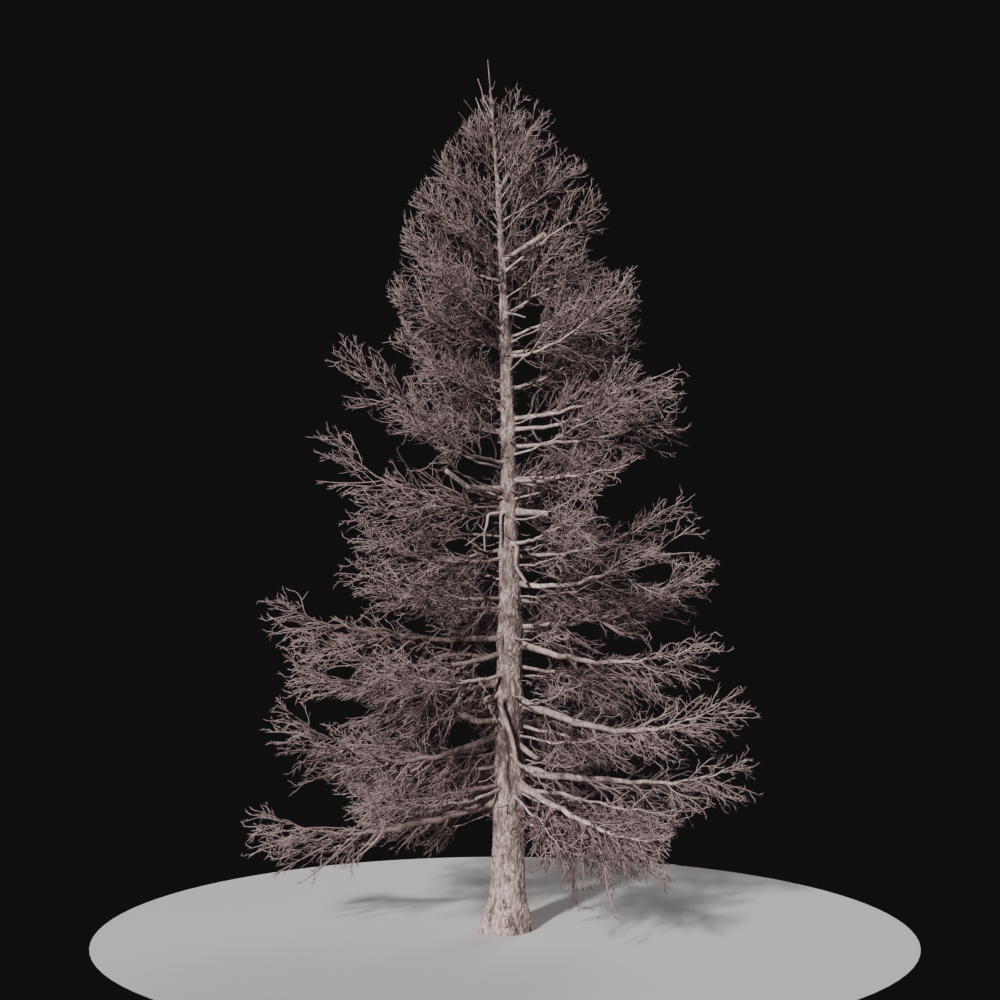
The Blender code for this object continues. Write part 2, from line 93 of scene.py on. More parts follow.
# --- noise ----------------------------------------------------------------------------------------
class Noise:
    """Repeatable noise on arrays of points, for bark relief."""

    CELL_FACTORS = (73856093, 19349663, 83492791)
    SALT_FACTOR = 2654435761
    STIRRING = ((15, 2246822519), (13, 3266489917), (16, 1))
    WORD = 0xFFFFFFFF

    @staticmethod
    def hashed(cells: np.ndarray, salt: int) -> np.ndarray:
        """Give each cell of a grid a number of its own.

        Args:
            cells: whole-number cell places, shape (..., 3).
            salt: picks one of many different noises.

        Returns:
            Numbers from 0 to 1, shape (...).
        """
        mixed = salt * Noise.SALT_FACTOR
        for axis, factor in enumerate(Noise.CELL_FACTORS):
            mixed = mixed ^ (cells[..., axis] * factor)
        mixed = mixed & Noise.WORD
        for shift, factor in Noise.STIRRING:
            mixed = ((mixed ^ (mixed >> shift)) * factor) & Noise.WORD
        return mixed / float(Noise.WORD)

    @staticmethod
    def smooth(points: np.ndarray, salt: int) -> np.ndarray:
        """Smooth noise from -1 to 1.

        Args:
            points: places, one unit to a cell, shape (n, 3).
            salt: picks the noise.

        Returns:
            The noise at each place, shape (n,).
        """
        low = np.floor(points).astype(np.int64)
        part = points - low
        part = part * part * (3.0 - 2.0 * part)
        total = np.zeros(len(points))
        for corner in np.ndindex(2, 2, 2):
            offset = np.array(corner)
            weight = np.prod(np.where(offset, part, 1.0 - part), axis=1)
            total += weight * Noise.hashed(low + offset, salt)
        return 2.0 * total - 1.0

    @staticmethod
    def layered(points: np.ndarray, salt: int, layers: int = 3) -> np.ndarray:
        """Several layers of smooth noise, each finer and weaker than the last.

        Args:
            points: places, one unit to the coarsest cell, shape (n, 3).
            salt: picks the noise.
            layers: how many layers there are.

        Returns:
            The noise at each place, about -1 to 1, shape (n,).
        """
        total = np.zeros(len(points))
        weight = 0.5
        for layer in range(layers):
            total += weight * Noise.smooth(points * 2.0**layer, salt + layer)
            weight *= 0.5
        return total

    @staticmethod
    def plates(points: np.ndarray, salt: int) -> tuple[np.ndarray, np.ndarray]:
        """Split space into uneven plates.

        Args:
            points: places, one unit to a plate, shape (n, 3).
            salt: picks the pattern.

        Returns:
            How far each place is from its plate's border, 0 on it, and a number of the plate's own.
        """
        base = np.floor(points).astype(np.int64)
        nearest = np.full(len(points), np.inf)
        second = np.full(len(points), np.inf)
        owner = np.zeros(len(points))
        for corner in np.ndindex(3, 3, 3):
            cell = base + np.array(corner) - 1
            spot = np.stack([Noise.hashed(cell, salt + axis) for axis in range(3)], axis=1)
            distance = np.linalg.norm(cell + spot - points, axis=1)
            closer = distance < nearest
            second = np.where(closer, nearest, np.minimum(second, distance))
            owner = np.where(closer, Noise.hashed(cell, salt + 7), owner)
            nearest = np.where(closer, distance, nearest)
        return second - nearest, owner


# --- meshes ---------------------------------------------------------------------------------------
@dataclass
class Shell:
    """Triangles on their way to a Blender mesh."""

    points: list[np.ndarray] = field(default_factory=list)
    faces: list[np.ndarray] = field(default_factory=list)
    slots: list[np.ndarray] = field(default_factory=list)
    furrows: list[np.ndarray] = field(default_factory=list)
    count: int = 0

    def add(self, points: np.ndarray, faces: np.ndarray, slots: np.ndarray | int = 0,
            furrows: np.ndarray | float = 0.0) -> None:
        """Add a group of triangles.

        Args:
            points: corners, shape (n, 3).
            faces: corner numbers within this group, shape (m, 3).
            slots: each face's material slot, or one for all.
            furrows: how deep in a furrow each corner lies, 0 to 1, or one value for all.
        """
        self.points.append(points)
        self.faces.append(faces + self.count)
        self.slots.append(np.broadcast_to(slots, len(faces)))
        self.furrows.append(np.broadcast_to(furrows, len(points)))
        self.count += len(points)

    def triangles(self) -> int:
        """How many triangles there are so far."""
        return sum(len(faces) for faces in self.faces)

    def to_object(self, name: str, materials: list[bpy.types.Material]) -> bpy.types.Object:
        """Make the object.

        Args:
            name: the piece's name.
            materials: its material slots.

        Returns:
            The new object, linked to the scene.
        """
        points = np.concatenate(self.points).astype(np.float32)
        faces = np.concatenate(self.faces).astype(np.int32)
        mesh = bpy.data.meshes.new(name)
        mesh.vertices.add(len(points))
        mesh.vertices.foreach_set("co", points.ravel())
        mesh.loops.add(3 * len(faces))
        mesh.loops.foreach_set("vertex_index", faces.ravel())
        mesh.polygons.add(len(faces))
        mesh.polygons.foreach_set("loop_start", np.arange(0, 3 * len(faces), 3, dtype=np.int32))
        mesh.polygons.foreach_set("material_index", np.concatenate(self.slots).astype(np.int32))
        furrow = mesh.attributes.new("furrow", "FLOAT", "POINT")
        furrow.data.foreach_set("value", np.concatenate(self.furrows).astype(np.float32))
        mesh.update(calc_edges=True)
        mesh.validate()
        mesh.shade_smooth()
        for material in materials:
            mesh.materials.append(material)
        made = bpy.data.objects.new(name, mesh)
        bpy.context.scene.collection.objects.link(made)
        return made


def unit(vectors: np.ndarray) -> np.ndarray:
    """Vectors scaled to length one along their last axis."""
    return vectors / np.maximum(np.linalg.norm(vectors, axis=-1, keepdims=True), 1e-9)


def full_turn(count: int) -> np.ndarray:
    """Angles spread evenly round a circle, in radians."""
    return 2.0 * math.pi * np.arange(count) / count


def level_heading(azimuth: float) -> np.ndarray:
    """The level direction at an azimuth in degrees."""
    angle = math.radians(azimuth)
    return np.array((math.cos(angle), math.sin(angle), 0.0))


def tube_faces(rings: int, sides: int, pointed: bool) -> np.ndarray:
    """Corner numbers of a closed tube whose corners run ring by ring.

    Args:
        rings: how many full rings there are.
        sides: corners in each ring.
        pointed: whether one last corner closes the tube, in place of a flat end.

    Returns:
        Triangles, shape (m, 3), facing out where rings run anticlockwise round their direction.
    """
    faces = []
    for ring in range(0, (rings - 1) * sides, sides):
        for side in range(sides):
            here = ring + side
            beside = ring + (side + 1) % sides
            faces += [(here, beside, beside + sides), (here, beside + sides, here + sides)]
    last = (rings - 1) * sides
    if pointed:
        faces += [(last + side, last + (side + 1) % sides, last + sides) for side in range(sides)]
    else:
        faces += [(last, last + side, last + side + 1) for side in range(1, sides - 1)]
    faces += [(0, side + 1, side) for side in range(1, sides - 1)]
    return np.array(faces, dtype=np.int64)


# --- the trunk ------------------------------------------------------------------------------------
@dataclass
class Trunk:
    """The stem: its taper, lean, root flare and plated bark."""

    tree_height: float = 12.0
    stem_radius: float = 0.247
    tip_radius: float = 0.006
    taper: float = 1.15
    flare_radius: float = 0.107
    flare_height: float = 0.38
    flare_lobes: int = 5
    flare_lobe_depth: float = 0.22
    foot_sway: float = 0.06
    foot_sway_height: float = 0.6
    leader_lean: float = 0.295
    leader_lean_start: float = 5.0
    leader_lean_power: float = 2.2
    depth_sway: float = 0.03
    sides: int = 160
    ring_step: float = 0.0135
    plate_width: float = 0.062
    plate_height: float = 0.130
    furrow_depth: float = 0.012
    warp_size: float = 0.16
    warp: tuple[float, float, float] = (0.014, 0.014, 0.05)
    fibre_size: tuple[float, float, float] = (0.012, 0.012, 0.11)
    fibre_depth: float = 0.0042
    swell_size: tuple[float, float, float] = (0.16, 0.16, 0.5)
    swell_depth: float = 0.012
    patch_size: tuple[float, float, float] = (0.20, 0.20, 0.35)
    split_low: float = 1.78
    split_high: float = 3.06
    split_fade_low: float = 0.22
    split_fade_high: float = 0.30
    split_across: float = -0.046
    split_drift: float = 0.060
    split_wave: float = 0.010
    split_half_width: float = 0.027
    split_edge_size: tuple[float, float, float] = (0.3, 0.3, 0.11)
    split_depth: float = 0.042
    collar_height: float = 0.32

    def axis(self, heights: np.ndarray) -> np.ndarray:
        """Points on the middle line.

        Args:
            heights: heights above the ground, shape (n,).

        Returns:
            The points, shape (n, 3).
        """
        heights = np.asarray(heights, float)
        foot = self.foot_sway * (1.0 - np.exp(-heights / self.foot_sway_height))
        span = self.tree_height - self.leader_lean_start
        above = np.maximum(0.0, heights - self.leader_lean_start) / span
        x = foot - self.leader_lean * above**self.leader_lean_power
        y = self.depth_sway * np.sin(1.5 * math.pi * heights / self.tree_height)
        return np.stack([x, y, heights], axis=-1)

    def radius(self, heights: np.ndarray, around: np.ndarray | None = None) -> np.ndarray:
        """Radii without bark relief.

        Args:
            heights: heights above the ground.
            around: angles round the stem, which bring in the flare's lobes.

        Returns:
            The radii, shaped as the heights.
        """
        heights = np.asarray(heights, float)
        share = np.clip(1.0 - heights / self.tree_height, 0.0, 1.0)
        radii = self.tip_radius + (self.stem_radius - self.tip_radius) * share**self.taper
        flare = self.flare_radius * np.exp(-((heights / self.flare_height) ** 2))
        if around is not None:
            flare = flare * (1.0 + self.flare_lobe_depth * np.cos(self.flare_lobes * around + 0.9))
        return radii + flare

    def ring_heights(self) -> np.ndarray:
        """Heights of the rings, closer together near the ground."""
        heights = [0.0]
        while heights[-1] < self.tree_height:
            step = self.ring_step * (1.0 + 1.4 * heights[-1] / self.tree_height)
            heights.append(heights[-1] + step)
        heights[-1] = self.tree_height
        return np.array(heights)

    def relief(self, places: np.ndarray, radii: np.ndarray) -> tuple[np.ndarray, np.ndarray]:
        """Bark plates and furrows.

        Args:
            places: points on the smooth stem, shape (n, 3).
            radii: the stem's radius there, shape (n,).

        Returns:
            How far each point moves out, and how deep in a furrow it lies, 0 to 1; the split counts as a
            deep furrow, which paints shade into its hollow.
        """
        size = 0.45 + 0.55 * np.clip(radii / self.stem_radius, 0.0, 1.0)
        warp = Noise.smooth(places / self.warp_size, 11)[:, None] * np.array(self.warp)
        spots = (places + warp) / np.array((self.plate_width, self.plate_width, self.plate_height))
        border, plate = Noise.plates(spots / size[:, None], 23)
        small, scale = Noise.plates(spots * 2.3 / size[:, None], 57)
        seam = np.clip(1.0 - border / 0.30, 0.0, 1.0) ** 1.3
        crack = np.clip(1.0 - small / 0.22, 0.0, 1.0)
        fibre = Noise.layered(places / np.array(self.fibre_size), 91)
        swell = Noise.layered(places / np.array(self.swell_size), 5)
        out = self.furrow_depth * (0.40 * plate - seam - 0.25 * crack + 0.16 * scale)
        out = (out + self.fibre_depth * fibre) * size
        out = out + self.swell_depth * swell * np.clip(radii / 0.1, 0.1, 1.0)
        patches = Noise.smooth(places / np.array(self.patch_size), 71)
        patchy = 0.5 + 0.5 * np.clip(1.6 * patches + 0.4, -1.0, 1.0)
        furrow = np.clip((0.25 + 0.55 * patchy) * (0.65 * seam + 0.30 * crack) - 0.10 * fibre, 0.0, 1.0)
        split = self.split(places)
        out = out * np.clip(radii / 0.05, 0.08, 1.0) - self.split_depth * split
        # The split takes the darkest furrow colour: painted shade in its hollow.
        return out, np.maximum(furrow, 1.3 * split)

    def split(self, places: np.ndarray) -> np.ndarray:
        """The long split in the bark on the viewing side.

        Args:
            places: points on the smooth stem, shape (n, 3).

        Returns:
            How deep in the split each point lies, 0 to 1.
        """
        heights = places[:, 2]
        beside = places - self.axis(heights)
        middle = self.split_across + self.split_drift * (self.split_high - heights)
        middle = middle + self.split_wave * np.sin(11.0 * heights)
        edge = Noise.smooth(places / np.array(self.split_edge_size), 37)
        near = 1.0 - np.abs(beside[:, 0] - middle) / (self.split_half_width * (1.0 + 0.45 * edge))
        lower = np.clip((heights - self.split_low) / self.split_fade_low, 0.0, 1.0)
        upper = np.clip((self.split_high - heights) / self.split_fade_high, 0.0, 1.0)
        depth = np.sqrt(np.clip(near, 0.0, 1.0)) * (lower * upper)
        return np.where(beside[:, 1] < 0.0, depth, 0.0)

    def collars(self, places: np.ndarray, boughs: list["Bough"]) -> np.ndarray:
        """The swelling of the stem round the root of each bough.

        Args:
            places: points on the stem, shape (n, 3).
            boughs: the boughs that it bears.

        Returns:
            How far each point moves out, shape (n,).
        """
        out = np.zeros(len(places))
        for bough in boughs:
            root = bough.points(np.array([self.radius(bough.height) / bough.reach]))[0]
            wide = 1.9 * bough.radii(np.zeros(1))[0]
            gap = (places - root) / np.array((wide, wide, 1.5 * wide))
            out += self.collar_height * wide * np.exp(-np.sum(gap * gap, axis=1))
        return out

    def build(self, boughs: list["Bough"], finish: "BarkFinish") -> bpy.types.Object:
        """Make the trunk's mesh.

        Args:
            boughs: every bough, for the collars.
            finish: the bark's finish.

        Returns:
            The trunk.
        """
        heights = self.ring_heights()
        high, around = np.meshgrid(heights, full_turn(self.sides), indexing="ij")
        high, around = high.ravel(), around.ravel()
        radii = self.radius(high, around)
        outward = np.stack([np.cos(around), np.sin(around), np.zeros_like(around)], axis=1)
        smooth = self.axis(high) + outward * radii[:, None]
        out, furrow = self.relief(smooth, radii)
        out += self.collars(smooth, boughs)
        # The flat cut stays inside its outline and the tip keeps its height.
        places = smooth + outward * out[:, None]
        places[:, 2] = high
        shell = Shell()
        shell.add(places, tube_faces(len(heights), self.sides, False), 0, furrow)
        return shell.to_object("trunk_bark", [finish.material()])


# --- boughs ---------------------------------------------------------------------------------------
TRUNK = Trunk()
ROOT_RADIUS_SHARE = 0.0135
TIP_RADIUS = 0.006
SLIMMED_FROM = 0.35
OUTER_SLIMMING = 0.42
CROOK_SHARE = 0.018
WAVE_SHARE = 0.012
KINK_SIZE = 0.011


class MiddleLine:
    """A limb's middle line and thickness, which its own class gives."""

    # A heading is read from two points, this share of the length to either side.
    reading_step = 0.01

    def points(self, shares: np.ndarray) -> np.ndarray:
        """Points on the middle line, at shares of the limb's length."""
        raise NotImplementedError

    def radii(self, shares: np.ndarray) -> np.ndarray:
        """The limb's radius at shares of its length."""
        raise NotImplementedError

    def headings(self, shares: np.ndarray) -> np.ndarray:
        """The direction in which the limb runs at each share of its length."""
        shares = np.asarray(shares, float)
        step = self.reading_step
        return unit(self.points(shares + step) - self.points(shares - step))


@dataclass(frozen=True)
class Bough(MiddleLine):
    """One bough: where it leaves the trunk, where it points, how it bends and what it bears."""

    name: str
    height: float
    azimuth: float
    reach: float
    slope: float
    rise: float
    curl: float = 2.5
    swing: float = 0.0
    limb: float = 0.0
    stoutness: float = 1.0
    branches: int = 10

    def seed(self) -> int:
        """A number of the bough's own that steers all its random draws."""
        return sum(ord(letter) * (place + 1) for place, letter in enumerate(self.name))

    def points(self, shares: np.ndarray) -> np.ndarray:
        """Points on the middle line.

        Args:
            shares: shares of the reach, from the trunk's axis, shape (n,).

        Returns:
            The points, shape (n, 3).
        """
        shares = np.asarray(shares, float)
        along = level_heading(self.azimuth)
        aside = np.array((-along[1], along[0], 0.0))
        start_rise = self.slope * self.reach
        rise = start_rise * shares + (self.rise - start_rise) * np.maximum(shares, 0.0) ** self.curl
        phase = self.seed()
        crook = CROOK_SHARE * self.reach * shares * np.sin(7.0 * shares + phase)
        lift = WAVE_SHARE * self.reach * shares * np.sin(9.0 * shares + 2.0 * phase)
        run = self.reach * shares
        kink = KINK_SIZE * np.minimum(1.0, 3.0 * shares)
        crook = crook + kink * np.sin(13.0 * run + 1.7 * phase)
        lift = lift + kink * (np.sin(11.0 * run + phase) + 0.6 * np.sin(23.0 * run + 2.3 * phase))
        sideways = self.swing * shares**2 + crook
        return (
            TRUNK.axis(self.height)
            + along * run[:, None]
            + aside * sideways[:, None]
            + UP * (rise + lift)[:, None]
        )

    def radii(self, shares: np.ndarray) -> np.ndarray:
        """The radius at each share of the reach, slimmer than the solids' where the twigs begin."""
        shares = np.clip(shares, 0.0, 1.0)
        root = ROOT_RADIUS_SHARE * self.reach * self.stoutness
        outer = np.clip((shares - SLIMMED_FROM) / (1.0 - SLIMMED_FROM), 0.0, 1.0)
        return (TIP_RADIUS + (root - TIP_RADIUS) * (1.0 - shares) ** 0.9) * (1.0 - OUTER_SLIMMING * outer)

    def side(self) -> Side:
        """The side of the crown that it stands on."""
        return Side.facing(self.azimuth)


# name, height, azimuth, reach, slope, rise, curl, swing, limb, stoutness, branches. The limb is the
# share of the reach that stands bare; 0.0 is for a bough that bears twigs from near its root.
BOUGHS = tuple(Bough(*row) for row in (
    ("right_01", 2.22, 0, 3.28, -0.16, 0.10, 3.0, 0.0, 0.42, 1.40, 12),
    ("right_02", 3.19, 350, 3.14, -0.35, 0.17, 3.2, 0.1, 0.42, 1.45, 14),
    ("right_03", 2.08, 313, 2.98, -0.32, -0.50, 3.0, 0.0, 0.36, 1.25, 15),
    ("right_04", 3.98, 4, 2.80, -0.30, 0.08, 3.0, -0.1, 0.40, 1.35, 11),
    ("right_05", 4.12, 22, 3.00, 0.00, 0.94, 2.2, 0.0, 0.0, 0.9, 11),
    ("right_06", 4.80, 346, 2.58, -0.20, 0.85, 2.0, 0.0, 0.38, 1.10, 11),
    ("right_07", 5.16, 14, 2.55, -0.06, 0.80, 2.2, 0.0, 0.0, 0.9, 10),
    ("right_08", 6.20, 330, 1.95, -0.05, 0.25, 2.0, 0.0, 0.0, 1.0, 10),
    ("right_09", 6.65, 8, 2.28, 0.08, 0.36, 2.0, 0.0, 0.0, 1.0, 10),
    ("right_10", 7.05, 352, 2.28, 0.06, 0.70, 2.0, 0.1, 0.0, 1.0, 10),
    ("right_11", 7.44, 28, 1.95, 0.25, 0.80, 2.0, 0.0, 0.0, 1.0, 9),
    ("right_12", 7.90, 340, 1.82, 0.08, 1.20, 2.4, 0.0, 0.0, 1.0, 10),
    ("right_13", 8.47, 15, 1.48, 0.66, 0.85, 2.0, 0.0, 0.0, 1.0, 10),
    ("right_14", 9.05, 338, 1.46, 0.75, 0.88, 2.0, 0.0, 0.0, 1.0, 10),
    ("right_15", 9.75, 20, 1.20, 0.62, 0.80, 2.0, 0.0, 0.0, 1.0, 9),
    ("right_16", 10.20, 332, 0.54, 1.30, 0.82, 1.6, 0.0, 0.0, 1.2, 7),
    ("left_01", 1.82, 187, 3.44, -0.30, -0.14, 3.0, 0.0, 0.40, 1.15, 14),
    ("left_02", 2.78, 198, 3.22, -0.47, 0.42, 2.3, -0.1, 0.38, 1.05, 14),
    ("left_03", 2.47, 150, 2.90, -0.08, 0.10, 2.5, 0.0, 0.0, 0.95, 9),
    ("left_04", 4.03, 180, 3.22, -0.04, 0.56, 3.0, 0.1, 0.40, 1.0, 12),
    ("left_05", 3.88, 206, 3.00, -0.46, 0.24, 1.7, 0.0, 0.0, 0.95, 11),
    ("left_06", 3.42, 165, 3.05, -0.10, 0.05, 2.2, 0.0, 0.0, 0.95, 11),
    ("left_07", 5.27, 176, 2.12, -0.25, 0.42, 3.0, 0.0, 0.0, 1.0, 9),
    ("left_08", 4.58, 204, 2.28, -0.04, 0.56, 2.4, 0.0, 0.0, 0.9, 9),
    ("left_09", 5.92, 172, 2.52, 0.00, 0.94, 3.2, 0.0, 0.40, 1.0, 10),
    ("left_10", 6.86, 186, 2.30, 0.12, 1.18, 2.8, 0.0, 0.38, 1.05, 10),
    ("left_11", 7.42, 158, 1.75, 0.28, 0.66, 2.0, 0.0, 0.0, 1.0, 9),
    ("left_12", 8.02, 192, 1.66, 0.25, 0.74, 2.0, 0.0, 0.0, 1.0, 10),
    ("left_13", 8.58, 165, 1.48, 0.45, 1.08, 2.0, 0.0, 0.0, 1.0, 10),
    ("left_14", 9.12, 205, 1.33, 0.60, 0.96, 2.0, 0.0, 0.0, 1.0, 10),
    ("left_15", 9.64, 172, 0.93, 0.95, 1.14, 2.0, 0.0, 0.0, 1.1, 9),
    ("left_16", 10.38, 190, 0.48, 1.20, 0.76, 1.8, 0.0, 0.0, 1.3, 7),
    ("front_01", 2.04, 222, 2.75, -0.12, 0.08, 2.2, 0.0, 0.0, 0.95, 11),
    ("front_02", 2.47, 284, 2.60, -0.20, 0.15, 2.4, 0.0, 0.0, 0.95, 9),
    ("front_03", 3.54, 229, 2.60, -0.15, 0.35, 2.2, 0.0, 0.0, 0.95, 9),
    ("front_04", 5.34, 296, 2.30, 0.00, 0.60, 2.2, 0.0, 0.0, 0.95, 9),
    ("front_05", 6.44, 229, 2.05, 0.05, 0.70, 2.2, 0.0, 0.0, 1.0, 10),
    ("front_06", 8.24, 230, 1.55, 0.35, 0.80, 2.0, 0.0, 0.0, 1.0, 10),
    ("back_01", 2.14, 98, 3.20, -0.22, 0.05, 2.6, 0.0, 0.0, 1.1, 12),
    ("back_02", 2.89, 58, 3.10, -0.18, 0.25, 2.4, 0.0, 0.0, 0.95, 11),
    ("back_03", 4.39, 112, 2.80, -0.10, 0.60, 2.4, 0.0, 0.0, 0.95, 9),
    ("back_04", 5.69, 84, 2.30, 0.00, 0.70, 2.2, 0.0, 0.0, 0.95, 9),
    ("back_05", 7.14, 110, 1.95, 0.15, 0.80, 2.2, 0.0, 0.0, 1.0, 9),
    ("back_06", 8.74, 80, 1.50, 0.50, 0.95, 2.0, 0.0, 0.0, 1.0, 10),
))
# Limbs that run beside the main ones, with the same columns.
COMPANIONS = tuple(Bough(*row) for row in (
    ("beside_right_02", 3.18, 356, 1.95, -0.42, -0.42, 2.0, 0.0, 0.0, 1.2, 7),
    ("beside_right_06", 4.58, 8, 2.25, -0.20, 0.22, 2.4, 0.0, 0.0, 1.1, 9),
    ("beside_left_06", 3.44, 178, 2.25, -0.04, -0.18, 3.0, 0.0, 0.0, 1.1, 8),
    ("beside_right_01", 1.98, 338, 2.40, -0.10, -0.30, 2.2, 0.0, 0.0, 1.0, 10),
    ("beside_left_03", 2.30, 188, 2.40, -0.20, -0.06, 2.4, 0.0, 0.0, 0.9, 8),
    ("beside_right_15", 10.05, 350, 0.62, 1.40, 0.80, 1.6, 0.0, 0.0, 1.1, 7),
    ("beside_left_02", 3.05, 172, 2.30, -0.10, -0.14, 2.4, 0.0, 0.0, 1.0, 8),
    ("beside_right_04", 3.66, 12, 2.05, -0.20, -0.24, 2.4, 0.0, 0.0, 1.0, 8),
    ("beside_right_12", 8.16, 22, 1.62, 0.30, 0.92, 2.0, 0.0, 0.0, 1.0, 8),
    ("beside_left_13", 8.86, 196, 1.36, 0.40, 0.74, 2.0, 0.0, 0.0, 1.0, 8),
    ("beside_right_10", 6.90, 358, 2.26, 0.05, 0.60, 2.2, 0.0, 0.0, 1.0, 10),
    ("beside_left_12", 8.10, 184, 1.50, 0.25, 0.78, 2.0, 0.0, 0.0, 1.0, 9),
    ("beside_right_11", 7.94, 2, 1.80, 0.15, 0.78, 2.0, 0.0, 0.0, 1.0, 9),
    ("beside_right_05", 4.18, 10, 2.90, -0.02, 0.84, 2.2, 0.0, 0.0, 0.9, 11),
    ("beside_left_05", 3.40, 187, 3.06, -0.10, 0.40, 3.2, 0.0, 0.0, 0.9, 11),
    ("beside_left_07", 5.14, 183, 2.02, -0.15, 0.36, 2.6, 0.0, 0.0, 1.0, 9),
    ("beside_left_09", 5.84, 186, 1.50, -0.04, 0.10, 2.2, 0.0, 0.0, 0.9, 7),
    ("beside_right_08", 6.24, 352, 1.50, -0.05, 0.20, 2.0, 0.0, 0.0, 1.0, 7),
    ("beside_right_03", 1.92, 298, 1.60, -0.35, -0.60, 2.0, 0.0, 0.0, 1.0, 10),
    ("beside_front_01", 1.98, 326, 2.20, -0.32, -0.66, 2.0, 0.0, 0.0, 1.0, 10),
    ("beside_left_16", 10.62, 176, 0.52, 1.30, 0.68, 1.6, 0.0, 0.0, 1.1, 7),
    ("beside_right_16", 10.50, 4, 0.60, 1.25, 0.72, 1.6, 0.0, 0.0, 1.1, 7),
    ("beside_left_14", 9.36, 178, 1.08, 0.60, 0.84, 2.0, 0.0, 0.0, 1.0, 8),
    ("beside_left_15", 9.90, 186, 0.92, 0.80, 0.74, 1.8, 0.0, 0.0, 1.1, 7),
    ("beside_left_17", 10.94, 182, 0.42, 1.30, 0.50, 1.6, 0.0, 0.0, 1.1, 6),
    ("beside_left_01", 1.66, 182, 1.10, -0.20, -0.42, 2.0, 0.0, 0.0, 0.9, 7),
    ("beside_right_09", 2.85, 357, 2.20, -0.25, -0.30, 2.2, 0.0, 0.0, 0.9, 8),
))


class BrokenLimb(MiddleLine):
    """What is left of a broken limb, which tapers evenly from its root to its end."""

    def radii(self, shares: np.ndarray) -> np.ndarray:
        """The radius at each share of the length."""
        return self.root_radius + (self.end_radius - self.root_radius) * np.clip(shares, 0.0, 1.0)


@dataclass(frozen=True)
class Stub(BrokenLimb):
    """A short thick piece with a splintered end."""

    name: str
    height: float
    azimuth: float
    length: float
    slope: float
    root_radius: float
    end_radius: float
    upturn: float = 0.0

    def points(self, shares: np.ndarray) -> np.ndarray:
        """Points on the middle line.

        Args:
            shares: shares of the length, from the trunk's axis, shape (n,).

        Returns:
            The points, shape (n, 3).
        """
        shares = np.asarray(shares, float)
        level = level_heading(self.azimuth) * (self.length * shares)[:, None]
        rise = self.slope * self.length * shares + self.upturn * np.maximum(0.0, 3.0 * shares - 2.0)
        return TRUNK.axis(self.height) + level + UP * rise[:, None]


# name, height, azimuth, length, slope, root radius, end radius, upturn
STUBS = tuple(Stub(*row) for row in (
    ("stub_right_low", 2.66, 318, 0.50, -0.50, 0.036, 0.034),
    ("stub_front", 3.30, 224, 0.44, -0.22, 0.044, 0.040),
    ("stub_right", 5.78, 352, 0.53, -0.08, 0.040, 0.044),
    ("stub_left", 6.08, 212, 0.98, 0.03, 0.038, 0.030, 0.20),
    ("stub_right_top", 9.22, 322, 0.72, 0.42, 0.026, 0.046),
))


@dataclass(frozen=True)
class Snag(BrokenLimb):
    """A crooked dead limb on the trunk, bent at a few places."""

    reading_step = 0.02
    bend_rounding = 0.05

    height: float
    root_radius: float
    end_radius: float
    bends: tuple[tuple[float, float, float], ...]

    def corners(self) -> np.ndarray:
        """The places where it starts, bends and ends."""
        return TRUNK.axis(self.height) + np.array(self.bends)

    def length(self) -> float:
        """Its length along the bends."""
        return float(np.linalg.norm(np.diff(self.corners(), axis=0), axis=1).sum())

    def points(self, shares: np.ndarray) -> np.ndarray:
        """Points on the middle line, its bends a little rounded.

        Args:
            shares: shares of the length, shape (n,).

        Returns:
            The points, shape (n, 3).
        """
        corners = self.corners()
        steps = np.linalg.norm(np.diff(corners, axis=0), axis=1)
        marks = np.concatenate([[0.0], np.cumsum(steps)]) / steps.sum()
        total = np.zeros((len(shares), 3))
        for offset in (-self.bend_rounding, 0.0, self.bend_rounding):
            near = np.asarray(shares, float) + offset
            beyond = near - np.clip(near, 0.0, 1.0)
            line = [np.interp(near, marks, corners[:, axis]) for axis in range(3)]
            ends = np.where(beyond[:, None] < 0.0, corners[1] - corners[0], corners[-1] - corners[-2])
            total += np.stack(line, axis=1) + unit(ends) * (beyond * steps.sum())[:, None]
        return total / 3.0


